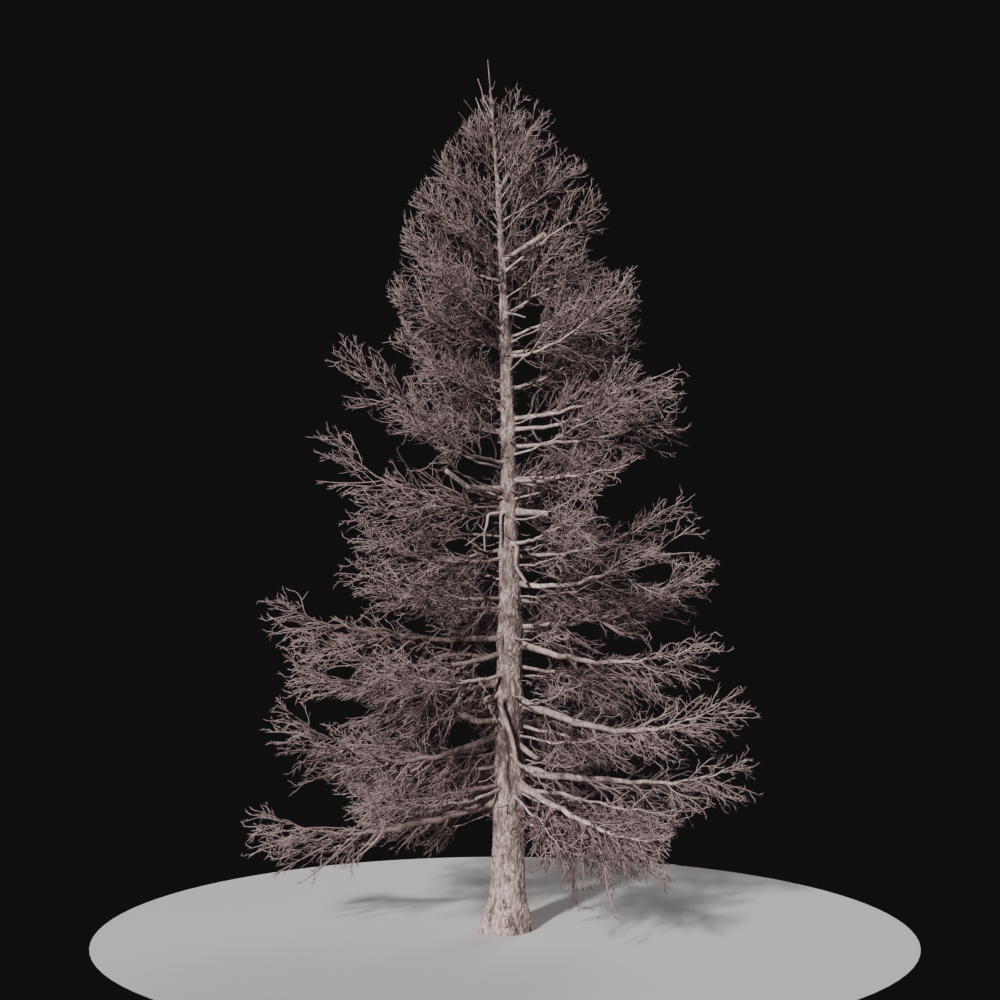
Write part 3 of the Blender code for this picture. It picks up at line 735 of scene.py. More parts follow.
# height, root radius, end radius, then where it starts, bends and ends: to the right of the trunk's
# middle line, away from the viewing side and up.
SNAGS = tuple(Snag(*row) for row in (
    (5.32, 0.036, 0.020, (
        (0.02, -0.06, 0.02), (0.11, -0.20, 0.0), (0.09, -0.23, -0.22), (0.10, -0.22, -0.32),
        (0.23, -0.24, -0.52),
    )),
    (5.73, 0.022, 0.014, ((-0.02, -0.06, 0.05), (-0.11, -0.15, 0.0), (-0.115, -0.16, -0.40))),
    (5.76, 0.024, 0.010, (
        (-0.04, -0.05, 0.0), (-0.29, -0.16, -0.02), (-0.30, -0.18, -0.16), (-0.34, -0.20, -0.28),
        (-0.33, -0.22, -0.52),
    )),
    (5.48, 0.010, 0.006, ((-0.34, -0.20, 0.0), (-0.45, -0.22, -0.07), (-0.59, -0.24, -0.17))),
    (3.18, 0.040, 0.026, (
        (-0.06, -0.10, 0.04), (-0.13, -0.28, -0.02), (0.04, -0.34, -0.50), (0.11, -0.32, -0.86),
    )),
    (3.20, 0.018, 0.012, (
        (-0.12, -0.10, 0.02), (-0.28, -0.22, 0.0), (-0.26, -0.24, -0.14), (-0.16, -0.28, -0.31),
    )),
    (3.15, 0.014, 0.007, (
        (0.05, -0.10, -0.05), (0.43, -0.16, 0.0), (0.68, -0.18, 0.10), (0.74, -0.18, 0.22),
    )),
    (2.90, 0.030, 0.044, ((-0.05, -0.08, 0.0), (-0.45, -0.24, 0.0), (-0.69, -0.30, 0.13))),
    (6.20, 0.026, 0.016, ((0.02, -0.04, 0.03), (0.34, -0.14, -0.07), (0.51, -0.16, 0.02))),
    (5.93, 0.018, 0.010, ((0.02, -0.04, 0.0), (0.42, -0.12, 0.10))),
    (5.96, 0.018, 0.009, ((-0.02, -0.08, -0.02), (-0.30, -0.18, 0.08), (-0.49, -0.20, 0.18))),
    (2.22, 0.052, 0.040, (
        (0.05, -0.02, 0.0), (0.24, -0.04, 0.01), (0.40, -0.03, -0.02), (0.56, 0.0, -0.09),
    )),
    (10.95, 0.012, 0.005, (
        (0.0, 0.0, 0.03), (-0.12, -0.03, 0.20), (-0.19, -0.02, 0.36), (-0.25, 0.0, 0.52),
    )),
    (11.22, 0.011, 0.005, (
        (0.0, 0.0, 0.02), (-0.13, -0.03, 0.24), (-0.15, -0.03, 0.36), (-0.20, -0.03, 0.50),
    )),
    (8.50, 0.018, 0.010, ((0.02, -0.04, 0.0), (0.16, -0.10, -0.02), (0.28, -0.12, -0.06))),
    (8.95, 0.022, 0.016, ((-0.02, -0.04, 0.0), (-0.20, -0.12, 0.02), (-0.30, -0.14, 0.06))),
))


# --- tubes ----------------------------------------------------------------------------------------
def spokes(headings: np.ndarray, sides: int) -> np.ndarray:
    """Directions spread evenly round each heading and square to it.

    Args:
        headings: unit vectors, shape (..., n, 3); the first of each line chooses its guide.
        sides: how many directions stand round each heading.

    Returns:
        Unit vectors, shape (..., n, sides, 3).
    """
    steep = np.abs(headings[..., :1, 2:3]) > 0.9
    guide = np.where(steep, np.array((0.31, 0.95, 0.0)), UP)
    across = unit(guide - headings * np.sum(guide * headings, axis=-1, keepdims=True))
    up = np.cross(headings, across)
    turn = full_turn(sides)[:, None]
    return across[..., None, :] * np.cos(turn) + up[..., None, :] * np.sin(turn)


@dataclass(frozen=True)
class BarkTube:
    """A limb's surface: a closed tube with ridges, knots and a rough or splintered end."""

    sides: int
    ring_step: float
    ridge: float
    knot: float
    splinter: float = 0.0
    ridges_round: float = 1.3
    ridge_length: float = 0.09
    collar: float = 0.55
    collar_run: float = 3.2

    def add_to(self, shell: Shell, line: MiddleLine, length: float, begin: float, seed: int,
               end_slot: int = 0) -> None:
        """Add the tube of one limb.

        Args:
            shell: takes the triangles.
            line: gives the limb's middle line, headings and radii.
            length: the limb's length, for the spacing of rings.
            begin: the share of the length where the tube starts, inside the trunk.
            seed: steers the ridges and knots.
            end_slot: the material slot of the end face.
        """
        count = max(4, int(length * (1.0 - begin) / self.ring_step))
        shares = begin + (1.0 - begin) * np.arange(count + 1) / count
        headings, radii = line.headings(shares), line.radii(shares)
        run = shares * length
        turn = full_turn(self.sides)
        shape = (count + 1, self.sides)
        grid = np.stack(
            [
                np.broadcast_to(np.cos(turn) * self.ridges_round, shape),
                np.broadcast_to(np.sin(turn) * self.ridges_round, shape),
                np.broadcast_to((run / self.ridge_length)[:, None], shape),
            ],
            axis=-1,
        ).reshape(-1, 3) + seed % 97
        ridges = Noise.layered(grid, seed % 89).reshape(shape)
        knots = Noise.smooth(grid * np.array((0.5, 0.5, 0.45)), seed % 83).reshape(shape)
        bump = self.ridge * ridges + self.knot * np.clip(knots - 0.35, 0.0, 1.0)
        collar = self.collar * np.exp(-(((run - run[0]) / (self.collar_run * radii[0])) ** 2))
        out = radii[:, None] * (1.0 + bump + collar[:, None])
        places = line.points(shares)[:, None] + spokes(headings, self.sides) * out[..., None]
        furrow = np.clip(0.05 - 0.8 * ridges - 0.2 * knots, 0.0, 0.45)
        if self.splinter > 0.0:
            jag = Noise.hashed(np.stack([np.arange(self.sides) + seed] * 3, axis=1), 5) - 0.35
            places[-1] += headings[-1] * (self.splinter * jag)[:, None]
            furrow[-1] = 0.0
        faces = tube_faces(count + 1, self.sides, False)
        # The last faces are the far end's, then the root's.
        cap = self.sides - 2
        slots = np.zeros(len(faces), dtype=np.int64)
        slots[-2 * cap:-cap] = end_slot
        shell.add(places.reshape(-1, 3), faces, slots, furrow.ravel())


# --- twigs ----------------------------------------------------------------------------------------
@dataclass
class Twigs:
    """Gently bent, tapering twigs, held as arrays with one row to a twig."""

    start: np.ndarray
    direction: np.ndarray
    bend: np.ndarray
    crook: np.ndarray
    length: np.ndarray
    root_radius: np.ndarray
    tip_radius: np.ndarray
    tint: np.ndarray
    piece: np.ndarray

    def __len__(self) -> int:
        """How many twigs there are."""
        return len(self.length)

    def at(self, shares: np.ndarray) -> np.ndarray:
        """One point on each twig, at that twig's own share of its length."""
        shares = shares[:, None]
        run = self.direction * shares + self.bend * (0.5 * shares**2)
        run = run + self.crook * np.sin(CROOK_WAVE * shares)
        return self.start + self.length[:, None] * run

    def headings(self, shares: np.ndarray) -> np.ndarray:
        """The direction of each twig at that twig's own share of its length."""
        shares = shares[:, None]
        sway = self.crook * CROOK_WAVE * np.cos(CROOK_WAVE * shares)
        return unit(self.direction + self.bend * shares + sway)

    def radii(self, shares: np.ndarray) -> np.ndarray:
        """The radius of each twig at that twig's own share of its length."""
        return self.tip_radius + (self.root_radius - self.tip_radius) * (1.0 - shares)

    def samples(self, count: int) -> np.ndarray:
        """Points along every twig, root first, shape (n, count + 1, 3)."""
        ones = np.ones(len(self))
        return np.stack([self.at(ones * number / count) for number in range(count + 1)], axis=1)

    def taken(self, rows: np.ndarray) -> "Twigs":
        """Some of the twigs, by a mask or by their numbers."""
        return Twigs(*(getattr(self, name)[rows] for name in self.__dataclass_fields__))

    def shortened(self, factors: np.ndarray) -> "Twigs":
        """The same twigs with each length multiplied by its factor."""
        return replace(self, length=self.length * factors)

    @staticmethod
    def joined(groups: list["Twigs"]) -> "Twigs":
        """Several sets of twigs as one."""
        names = Twigs.__dataclass_fields__
        return Twigs(*(np.concatenate([getattr(group, name) for group in groups]) for name in names))

    def add_to(self, shell: Shell, sides: int, segments: int) -> None:
        """Add the twigs' meshes.

        Args:
            shell: takes the triangles.
            sides: how many sides each twig has.
            segments: how many stretches each twig has, of which the last comes to a point.
        """
        if not len(self):
            return
        ones = np.ones(len(self))
        shares = [ones * number / segments for number in range(segments)]
        centres, headings, radii = (
            np.stack([reading(share) for share in shares], axis=1)
            for reading in (self.at, self.headings, self.radii)
        )
        rings = centres[:, :, None] + spokes(headings, sides) * radii[:, :, None, None]
        points = np.concatenate([rings.reshape(len(self), -1, 3), self.at(ones)[:, None]], axis=1)
        pattern = tube_faces(segments, sides, True)
        # The thinnest twigs need no face at the root, which is inside their bearer.
        pattern = pattern[:-1] if sides == 3 else pattern
        offsets = np.arange(len(self)) * points.shape[1]
        faces = pattern[None] + offsets[:, None, None]
        slots = np.repeat(self.tint, len(pattern))
        shell.add(points.reshape(-1, 3), faces.reshape(-1, 3), slots)


def crooks(draw: np.random.Generator, count: int, size: float) -> np.ndarray:
    """Random sideways sways, one for each twig, as shares of its length."""
    return draw.normal(0.0, size, (count, 3))


def turned_sides(headings: np.ndarray, rolls: np.ndarray) -> np.ndarray:
    """Directions square to others, rolled round them from straight down.

    Args:
        headings: unit vectors, shape (n, 3).
        rolls: angles in radians, shape (n,).

    Returns:
        Unit vectors, shape (n, 3).
    """
    side = np.cross(headings, UP)
    side[np.linalg.norm(side, axis=1) < 0.01] = (1.0, 0.0, 0.0)
    side = unit(side)
    down = unit(np.cross(headings, side))
    return down * np.cos(rolls)[:, None] + side * np.sin(rolls)[:, None]


@dataclass(frozen=True)
class ShootRule:
    """How one order of shoots stands on the twigs that bear it."""

    spacing: float
    first: float
    last: float
    angle: float
    share: float
    least: float
    most: float
    stoutness: float
    tip_radius: float
    lift: float
    crook: float
    onward: float = 0.30
    wander: float = 0.14

    def grown_on(self, parents: Twigs, draw: np.random.Generator) -> Twigs:
        """Grow this order of shoots.

        Args:
            parents: the twigs that bear them.
            draw: gives the random numbers.

        Returns:
            The shoots.
        """
        span = parents.length * (self.last - self.first)
        counts = np.maximum(1, np.round(span / self.spacing)).astype(int)
        owner = np.repeat(np.arange(len(parents)), counts)
        total = len(owner)
        number = np.arange(total) - np.repeat(np.cumsum(counts) - counts, counts)
        bearer = parents.taken(owner)
        place = (number + draw.uniform(0.2, 0.8, total)) / counts[owner]
        shares = self.first + (self.last - self.first) * place
        along = bearer.headings(shares)
        rolls = math.pi * (number % 2) + draw.uniform(0.1, 2.9, total)
        out = turned_sides(along, rolls)
        angle = math.radians(self.angle) * draw.uniform(0.75, 1.2, total)[:, None]
        begin = unit(along * np.cos(angle) + out * np.sin(angle))
        length = self.share * bearer.length * (1.25 - shares) * draw.uniform(0.6, 1.15, total)
        length = np.clip(length, self.least, self.most) * draw.uniform(0.8, 1.1, total)
        radius = np.maximum(self.stoutness * bearer.radii(shares), 1.15 * self.tip_radius)
        bend = self.onward * along + UP * self.lift * lift_at(bearer.start[:, 2])[:, None]
        bend += draw.normal(0.0, self.wander, (total, 3))
        sway = crooks(draw, total, self.crook)
        tips = np.full(total, self.tip_radius)
        start = bearer.at(shares)
        return Twigs(start, begin, bend, sway, length, radius, tips, bearer.tint, bearer.piece)


def lift_at(heights: np.ndarray) -> np.ndarray:
    """How strongly twigs bend up at each height: down near the ground, up near the top."""
    above = np.asarray(heights, float) - DROOP_HEIGHT
    return above * np.where(above > 0.0, LIFT_PER_METRE, DROOP_PER_METRE)


# --- the view from the front ----------------------------------------------------------------------
@dataclass(frozen=True)
class Sight:
    """How the tree looks from the viewing side, on the upright plane through the trunk."""

    distance: float = 26.5
    eye_x: float = -0.065
    eye_z: float = 5.8

    def seen(self, points: np.ndarray) -> tuple[np.ndarray, np.ndarray]:
        """Where points appear on that plane: their places to the right and up."""
        scale = self.distance / (self.distance + points[..., 1])
        x = self.eye_x + (points[..., 0] - self.eye_x) * scale
        return x, self.eye_z + (points[..., 2] - self.eye_z) * scale


@dataclass(frozen=True)
class Opening:
    """A gap in the crown through which the sky shows, as it appears from the viewing side."""

    x: float
    z: float
    half_width: float
    half_height: float

    def holds(self, x: np.ndarray, z: np.ndarray) -> np.ndarray:
        """Which of some places lie in the gap, whose edge is ragged."""
        ragged = 1.0 + EDGE_RAGGEDNESS * np.sin(19.0 * x + 11.0 * z) * np.sin(23.0 * z - 13.0 * x)
        return ((x - self.x) / self.half_width) ** 2 + ((z - self.z) / self.half_height) ** 2 < ragged


SIGHT = Sight()
EDGE_RAGGEDNESS = 0.45
# x, z, half width, half height
OPENINGS = tuple(Opening(*row) for row in (
    (1.52, 9.32, 0.22, 0.18),
    (-1.78, 8.42, 0.24, 0.30),
    (0.30, 8.34, 0.18, 0.26),
    (2.14, 7.90, 0.24, 0.26),
    (-1.42, 7.84, 0.10, 0.16),
    (0.30, 7.68, 0.18, 0.09),
    (0.50, 6.92, 0.26, 0.10),
    (-1.78, 6.66, 0.16, 0.36),
    (-1.18, 6.54, 0.20, 0.15),
    (-0.38, 6.42, 0.24, 0.17),
    (2.02, 6.24, 0.38, 0.26),
    (1.56, 5.86, 0.26, 0.22),
    (0.31, 5.46, 0.13, 0.18),
    (2.42, 5.32, 0.22, 0.10),
    (-0.61, 5.29, 0.16, 0.09),
    (2.10, 4.92, 0.22, 0.11),
    (-2.40, 4.44, 0.36, 0.10),
    (-1.22, 4.19, 0.13, 0.10),
    (2.28, 4.12, 0.30, 0.13),
    (1.70, 3.90, 0.28, 0.09),
    (1.05, 4.18, 0.30, 0.06),
    (0.40, 3.67, 0.16, 0.12),
    (-2.26, 3.54, 0.20, 0.08),
    (-2.28, 3.03, 0.42, 0.13),
    (-0.62, 2.70, 0.13, 0.13),
    (-2.58, 1.68, 0.36, 0.24),
    (-0.43, 1.38, 0.22, 0.17),
    (2.80, 1.10, 0.48, 0.40),
    (1.95, 0.34, 0.42, 0.26),
))
# How far out the pale face of each bare limb shows, as a share of its reach.
BARE_LIMBS = {
    "right_01": 0.60,
    "right_02": 0.62,
    "right_03": 0.52,
    "right_04": 0.62,
    "right_06": 0.50,
    "right_07": 0.38,
    "right_09": 0.38,
    "right_10": 0.42,
    "right_12": 0.48,
    "right_14": 0.55,
    "right_15": 0.50,
    "left_01": 0.50,
    "left_02": 0.46,
    "left_04": 0.46,
}
# The crown's half widths towards its top, as seen from the viewing side: height, left, right.
UPPER_OUTLINE = np.array((
    (8.55, 1.66, 1.96),
    (8.9, 1.66, 1.92),
    (9.2, 1.50, 1.84),
    (9.6, 1.46, 1.48),
    (9.9, 1.44, 1.48),
    (10.3, 1.22, 1.34),
    (10.6, 0.98, 1.14),
    (10.97, 0.76, 0.88),
    (11.3, 0.44, 0.68),
    (11.6, 0.28, 0.42),
    (12.0, 0.16, 0.16),
))


def in_open_sky(points: np.ndarray) -> np.ndarray:
    """Which places lie in an opening, or beyond the outline of the upper crown.

    Args:
        points: places, shape (..., 3).

    Returns:
        A mask, shape (...).
    """
    x, z = SIGHT.seen(points)
    heights, left, right = UPPER_OUTLINE.T
    beyond = (x < -np.interp(z, heights, left)) | (x > np.interp(z, heights, right))
    found = beyond & (z > heights[0])
    for opening in OPENINGS:
        found |= opening.holds(x, z)
    return found


def in_box(points: np.ndarray) -> np.ndarray:
    """Which places lie inside the part's box."""
    low, high = np.array(CAD_BOX[0]), np.array(CAD_BOX[1])
    return np.all((points > low) & (points < high), axis=-1)


# --- the rule of the side branches, as in the solids ----------------------------------------------
SIDE_BRANCH_SHARE = 0.33
SIDE_BRANCH_LEAST = 0.20
FIRST_BRANCH = 0.24
LAST_BRANCH = 0.94
FULLNESS = 2.2
SIDE_ANGLE = math.radians(56.0)
DROOP_HEIGHT = 4.5
DROOP_PER_METRE = 0.036
LIFT_PER_METRE = 0.10
FREE_HEIGHT = 6.8
LEAST_ROUND = 0.54
TWIG_SLIMNESS = 55.0
TWIG_TIP_RADIUS = 0.0068
CROOK_WAVE = 6.5
# Bounds of the twigs' tints: the lower the value, the darker the tint, so that sprays near the trunk
# carry painted shade.
SHADE_TINT_BOUNDS = (0.33, 0.46, 0.60)


@dataclass
class Crown:
    """Side branches and shoots of every bough, and the spurs on the trunk."""

    boughs: list[Bough]
    side_spacing: float = 0.115
    side_spacing_at_top: float = 0.068
    fine_first: float = 0.10
    fine_last: float = 0.985
    fine_fullness: tuple[float, float] = (3.0, 3.8)
    overlap: float = 0.22
    overlap_beside: float = 0.50
    front_gap: float = 0.05
    front_gap_from: float = 1.8
    lowest_twig: float = 0.36
    lowest_azimuth: float = 318.0
    skirt_stations: tuple[float, ...] = (0.5, 1.9, 2.4)
    skirt_rises: tuple[float, ...] = (0.70, 0.74, 0.50)
    trunk_clearance: float = 0.012
    limb_gap: float = 0.02
    long_shoot: float = 0.17
    bearing_spur: float = 0.16
    cuts: tuple[float, ...] = (1.0, 0.75, 0.56, 0.42)
    seed: int = 4127
    shoot: ShootRule = ShootRule(
        spacing=0.098, first=0.12, last=0.97, angle=46.0, share=0.60, least=0.12, most=0.50,
        stoutness=0.68, tip_radius=0.0056, lift=0.8, crook=0.045,
    )
    twiglet: ShootRule = ShootRule(
        spacing=0.086, first=0.16, last=0.98, angle=44.0, share=0.56, least=0.080, most=0.20,
        stoutness=0.78, tip_radius=0.0047, lift=0.6, crook=0.040,
    )

    def side_branches(self, bough: Bough, count: int, first: float, fine: bool) -> Twigs:
        """Side branches of one bough by the same rule as in the solids.

        Args:
            bough: the bough that bears them.
            count: how many there are.
            first: the share of the bough's reach where they begin.
            fine: whether these are the finer ones, which stand on out to the bough's tip.

        Returns:
            The side branches.
        """
        seed = bough.seed() + 1000 * fine
        last = self.fine_last if fine else LAST_BRANCH
        fullness = np.interp(bough.height, (2.5, 8.0), self.fine_fullness) if fine else FULLNESS
        leaning = 0.20 if fine else 0.35
        draw = random.Random(seed)
        drawn = np.array([[draw.random() for _ in range(4)] for _ in range(count)])
        number = np.arange(count)
        hang = min(1.0, max(LEAST_ROUND, 1.0 - 0.13 * (FREE_HEIGHT - bough.height)))
        shares = first + (last - first) * (number + 0.15 + 0.70 * drawn[:, 0]) / count
        rolls = (number * GOLDEN_ANGLE - 0.4 + 0.8 * drawn[:, 1]) % (2.0 * math.pi) - math.pi
        rolls = rolls * (np.interp(shares, (0.45, 0.75), (hang, 1.0)) if fine else hang)
        along = bough.headings(shares)
        out = turned_sides(along, rolls)
        # Along a bare limb the twigs stand behind and below it.
        turned = (out[:, 1] < 0.0) & (shares < BARE_LIMBS.get(bough.name, 0.0))
        out[:, 1] = np.where(turned, -out[:, 1], out[:, 1])
        angle = (SIDE_ANGLE * (0.8 + 0.3 * drawn[:, 2]) * (1.0 - leaning * shares))[:, None]
        begin = unit(along * np.cos(angle) + out * np.sin(angle))
        towards_tip = 1.0 - (np.maximum(shares - first, 0.0) / (1.02 - first)) ** fullness
        low = np.interp(bough.height, (5.0, 8.0), (1.0, 0.0))
        upright = 1.0 - (0.35 + 0.35 * low * shares) * np.abs(rolls) / math.pi
        upright = upright * np.interp(shares, (0.84, 1.0), (1.0, 0.62))
        length = SIDE_BRANCH_LEAST + SIDE_BRANCH_SHARE * bough.reach * towards_tip * upright
        length = length * (0.75 + 0.30 * drawn[:, 3])
        bend = along * 0.35 + UP * lift_at(np.full(count, bough.height))[:, None]
        radius = np.minimum(0.62 * bough.radii(shares), length / TWIG_SLIMNESS + 0.0065)
        # Sprays nearer the bough's root, deep in the crown, get darker tints as painted shade, with a
        # random share of plain tone.
        outer = 0.55 * shares + 0.45 * np.array([draw.random() for _ in range(count)])
        tints = len(Tint) - 1 - np.searchsorted(SHADE_TINT_BOUNDS, outer)
        piece = np.full(count, piece_of(bough))
        tips = np.full(count, TWIG_TIP_RADIUS)
        sway = crooks(np.random.default_rng(seed), count, 0.050 if fine else 0.035)
        return Twigs(bough.points(shares), begin, bend, sway, length, radius, tips, tints, piece)

    def fitted(self, twigs: Twigs, bough: Bough) -> Twigs:
        """Shorten twigs until they keep nearer to their own bough than to any other.

        Args:
            twigs: side branches of one bough.
            bough: the bough that bears them.

        Returns:
            The twigs that fit, each cut back where it has to be.
        """
        own = bough.points(np.linspace(0.0, 1.0, 50))
        others = np.concatenate([o.points(np.linspace(0.0, 1.0, 40)) for o in BOUGHS if o is not bough])
        factors = np.zeros(len(twigs))
        overlap = self.overlap if bough in BOUGHS else self.overlap_beside
        for factor in self.cuts:
            trial = twigs.shortened(np.full(len(twigs), factor))
            points = trial.samples(10)[:, 2:]
            allowed = np.all(self.allowed(points), axis=1)
            near_own = np.min(np.linalg.norm(points[:, :, None] - own, axis=-1), axis=2)
            near_other = np.min(np.linalg.norm(points[:, :, None] - others, axis=-1), axis=2)
            holds = allowed & np.all(near_other > near_own - overlap, axis=1)
            factors = np.where((factors == 0.0) & holds, factor, factors)
        return twigs.shortened(factors).taken(factors > 0.0)

    def allowed(self, points: np.ndarray) -> np.ndarray:
        """Which places a twig may pass through.

        They are clear of the trunk and its face, within the crown's box and above its lower edge, and
        neither in an opening nor in front of a bare limb.

        Args:
            points: places, shape (..., 3).

        Returns:
            A mask, shape (...).
        """
        heights = points[..., 2]
        level = np.clip(heights, 0.0, TRUNK.tree_height)
        beside = points - TRUNK.axis(level)
        radius = TRUNK.radius(level)
        free = np.linalg.norm(beside, axis=-1) > radius + self.trunk_clearance
        before = (beside[..., 1] < 0.0) & (np.abs(beside[..., 0]) < radius + self.front_gap)
        azimuth = np.arctan2(beside[..., 1], beside[..., 0])
        turned = 0.5 - 0.5 * np.cos(azimuth - math.radians(self.lowest_azimuth))
        rise = np.interp(np.hypot(beside[..., 0], beside[..., 1]), self.skirt_stations, self.skirt_rises)
        skirt = self.lowest_twig + rise * turned
        x, z = SIGHT.seen(points)
        hides = before & (heights > self.front_gap_from)
        for line, thick in self.bare_limbs():
            across, up = SIGHT.seen(line)
            order = np.argsort(across)
            near = np.interp(x, across[order], up[order], left=-np.inf, right=-np.inf)
            depth = np.interp(x, across[order], line[order, 1])
            hides |= (np.abs(z - near) < thick) & (points[..., 1] < depth - self.limb_gap)
        return free & in_box(points) & ~hides & ~in_open_sky(points) & (heights > skirt)

    @staticmethod
    def bare_limbs() -> list[tuple[np.ndarray, float]]:
        """The limbs whose faces show: points along each, and how far round it is kept clear."""
        shown = [
            (b.points(np.linspace(0.06, BARE_LIMBS[b.name], 40)), 0.010 + float(b.radii(0.2)))
            for b in BOUGHS
            if b.name in BARE_LIMBS
        ]
        return shown + [(s.points(np.linspace(0.3, 1.05, 20)), 0.055) for s in STUBS]

    def clear(self, twigs: Twigs) -> np.ndarray:
        """Which twigs pass only through allowed places, their roots left aside."""
        return np.all(self.allowed(twigs.samples(5)[:, 1:]), axis=1)

    def shoots_on(self, bearers: Twigs, draw: np.random.Generator) -> tuple[Twigs, Twigs]:
        """Grow both orders of shoots, of which only the clear ones stay.

        Args:
            bearers: the twigs that bear the first order.
            draw: gives the random numbers.

        Returns:
            The shoots, and the twiglets on them.
        """
        shoots = self.shoot.grown_on(bearers, draw)
        shoots = shoots.taken(self.clear(shoots))
        twiglets = self.twiglet.grown_on(shoots, draw)
        return shoots, twiglets.taken(self.clear(twiglets))

    def grow(self) -> list[tuple[Twigs, int, int]]:
        """Grow every order of twig.

        Returns:
            For each order its twigs, their sides and their segments.
        """
        groups = []
        for bough in self.boughs:
            first = bough.limb + 0.05 if bough.limb else FIRST_BRANCH
            main = self.side_branches(bough, bough.branches, first, False)
            spacing = np.interp(bough.height, (2.5, 7.5), (self.side_spacing, self.side_spacing_at_top))
            count = max(4, int(bough.reach * (self.fine_last - self.fine_first) / spacing))
            fine = self.side_branches(bough, count, self.fine_first, True)
            groups.append(self.fitted(Twigs.joined([main, fine]), bough))
        sides = Twigs.joined(groups)
        sides = sides.taken(self.clear(sides))
        shoots, twiglets = self.shoots_on(sides, np.random.default_rng(self.seed))
        long = shoots.length > self.long_shoot
        return [
            (sides, 4, 6),
            (shoots.taken(long), 3, 4),
            (shoots.taken(~long), 3, 3),
            (twiglets, 3, 2),
        ]

    def build(self, finishes: list[bpy.types.Material]) -> list[bpy.types.Object]:
        """Make the twig pieces.

        Args:
            finishes: one material for each tint.

        Returns:
            The pieces, each over the nodes that it replaces.
        """
        orders = self.grow()
        for twigs, _, _ in orders:
            LOG.info("%d twigs, %.0f m", len(twigs), twigs.length.sum())
        made = []
        for number, (side, upper) in enumerate(PIECES):
            shell = Shell()
            for twigs, sides, segments in orders:
                twigs.taken(twigs.piece == number).add_to(shell, sides, segments)
            level = "upper" if upper else "lower"
            LOG.info("%s %s: %d triangles", side.name, level, shell.triangles())
            piece = shell.to_object(f"twig_sprays_{side.name.lower()}_{level}", finishes)
            nodes = [f"twigs_{b.name}" for b in BOUGHS if piece_of(b) == number]
            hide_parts(*nodes)
            made.append(piece)
        made.append(self.on_trunk(finishes))
        return made

    def on_trunk(self, finishes: list[bpy.types.Material]) -> bpy.types.Object:
        """Make the leader's shoots and the dead spurs as one piece.

        Args:
            finishes: one material for each tint.

        Returns:
            The piece.
        """
        draw = np.random.default_rng(self.seed + 1)
        sides = Twigs.joined([rule.grown(draw) for rule in (LEADER_SHOOTS, DEAD_SPURS)])
        sides = sides.taken(np.all(in_box(sides.samples(5)), axis=1))
        shoots, twiglets = self.shoots_on(sides.taken(sides.length > self.bearing_spur), draw)
        shell = Shell()
        sides.add_to(shell, 5, 5)
        shoots.add_to(shell, 3, 4)
        twiglets.add_to(shell, 3, 2)
        LOG.info("on the trunk: %d triangles", shell.triangles())
        return shell.to_object("trunk_spurs_and_leader_shoots", finishes)


@dataclass(frozen=True)
class TrunkGrowth:
    """One kind of twig that stands on the trunk itself, such as the leader's shoots."""

    low: float
    high: float
    count: int
    longest: float
    longest_at_top: float
    least_pitch: float
    most_pitch: float
    lift: float
    stoutness: float
    tip_radius: float
    crook: float = 0.05
    wander: float = 0.25

    def grown(self, draw: np.random.Generator) -> Twigs:
        """Grow the twigs.

        Args:
            draw: gives the random numbers.

        Returns:
            The twigs, in a piece of their own.
        """
        number = np.arange(self.count)
        steps = number + draw.uniform(0.1, 0.9, self.count)
        heights = self.low + (self.high - self.low) * steps / self.count
        azimuth = number * GOLDEN_ANGLE + draw.uniform(-0.5, 0.5, self.count)
        level = np.stack([np.cos(azimuth), np.sin(azimuth), np.zeros(self.count)], axis=1)
        pitch = np.radians(draw.uniform(self.least_pitch, self.most_pitch, self.count))[:, None]
        begin = level * np.cos(pitch) + UP * np.sin(pitch)
        longest = np.interp(heights, (self.low, self.high), (self.longest, self.longest_at_top))
        length = longest * draw.uniform(0.25, 1.0, self.count)
        start = TRUNK.axis(heights) + level * (0.55 * TRUNK.radius(heights))[:, None]
        radius = np.minimum(self.stoutness * length + 0.0045, 0.6 * TRUNK.radius(heights) + 0.002)
        bend = level * 0.1 + UP * self.lift + draw.normal(0.0, self.wander, (self.count, 3))
        tints = draw.integers(0, len(Tint) - 1, self.count)
        sway = crooks(draw, self.count, self.crook)
        tips = np.full(self.count, self.tip_radius)
        piece = np.full(self.count, len(PIECES))
        return Twigs(start, begin, bend, sway, length, radius, tips, tints, piece)


LEADER_SHOOTS = TrunkGrowth(
    low=10.6, high=11.62, count=17, longest=0.54, longest_at_top=0.16, least_pitch=38.0,
    most_pitch=74.0, lift=0.35, stoutness=0.016, tip_radius=0.004,
)
DEAD_SPURS = TrunkGrowth(
    low=1.15, high=10.6, count=110, longest=0.42, longest_at_top=0.24, least_pitch=-35.0,
    most_pitch=35.0, lift=0.05, stoutness=0.022, tip_radius=0.005,
)
UPPER_CROWN = 5.0
PIECES = [(side, upper) for side in Side for upper in (False, True)]


def piece_of(bough: Bough) -> int:
    """The number of the twig piece that a bough's twigs belong to."""
    return PIECES.index((bough.side(), bough.height > UPPER_CROWN))


# --- finishes -------------------------------------------------------------------------------------
# What a node's input gets: the socket that feeds it, or a plain value.
Feed = bpy.types.NodeSocket | float | tuple[float, ...]


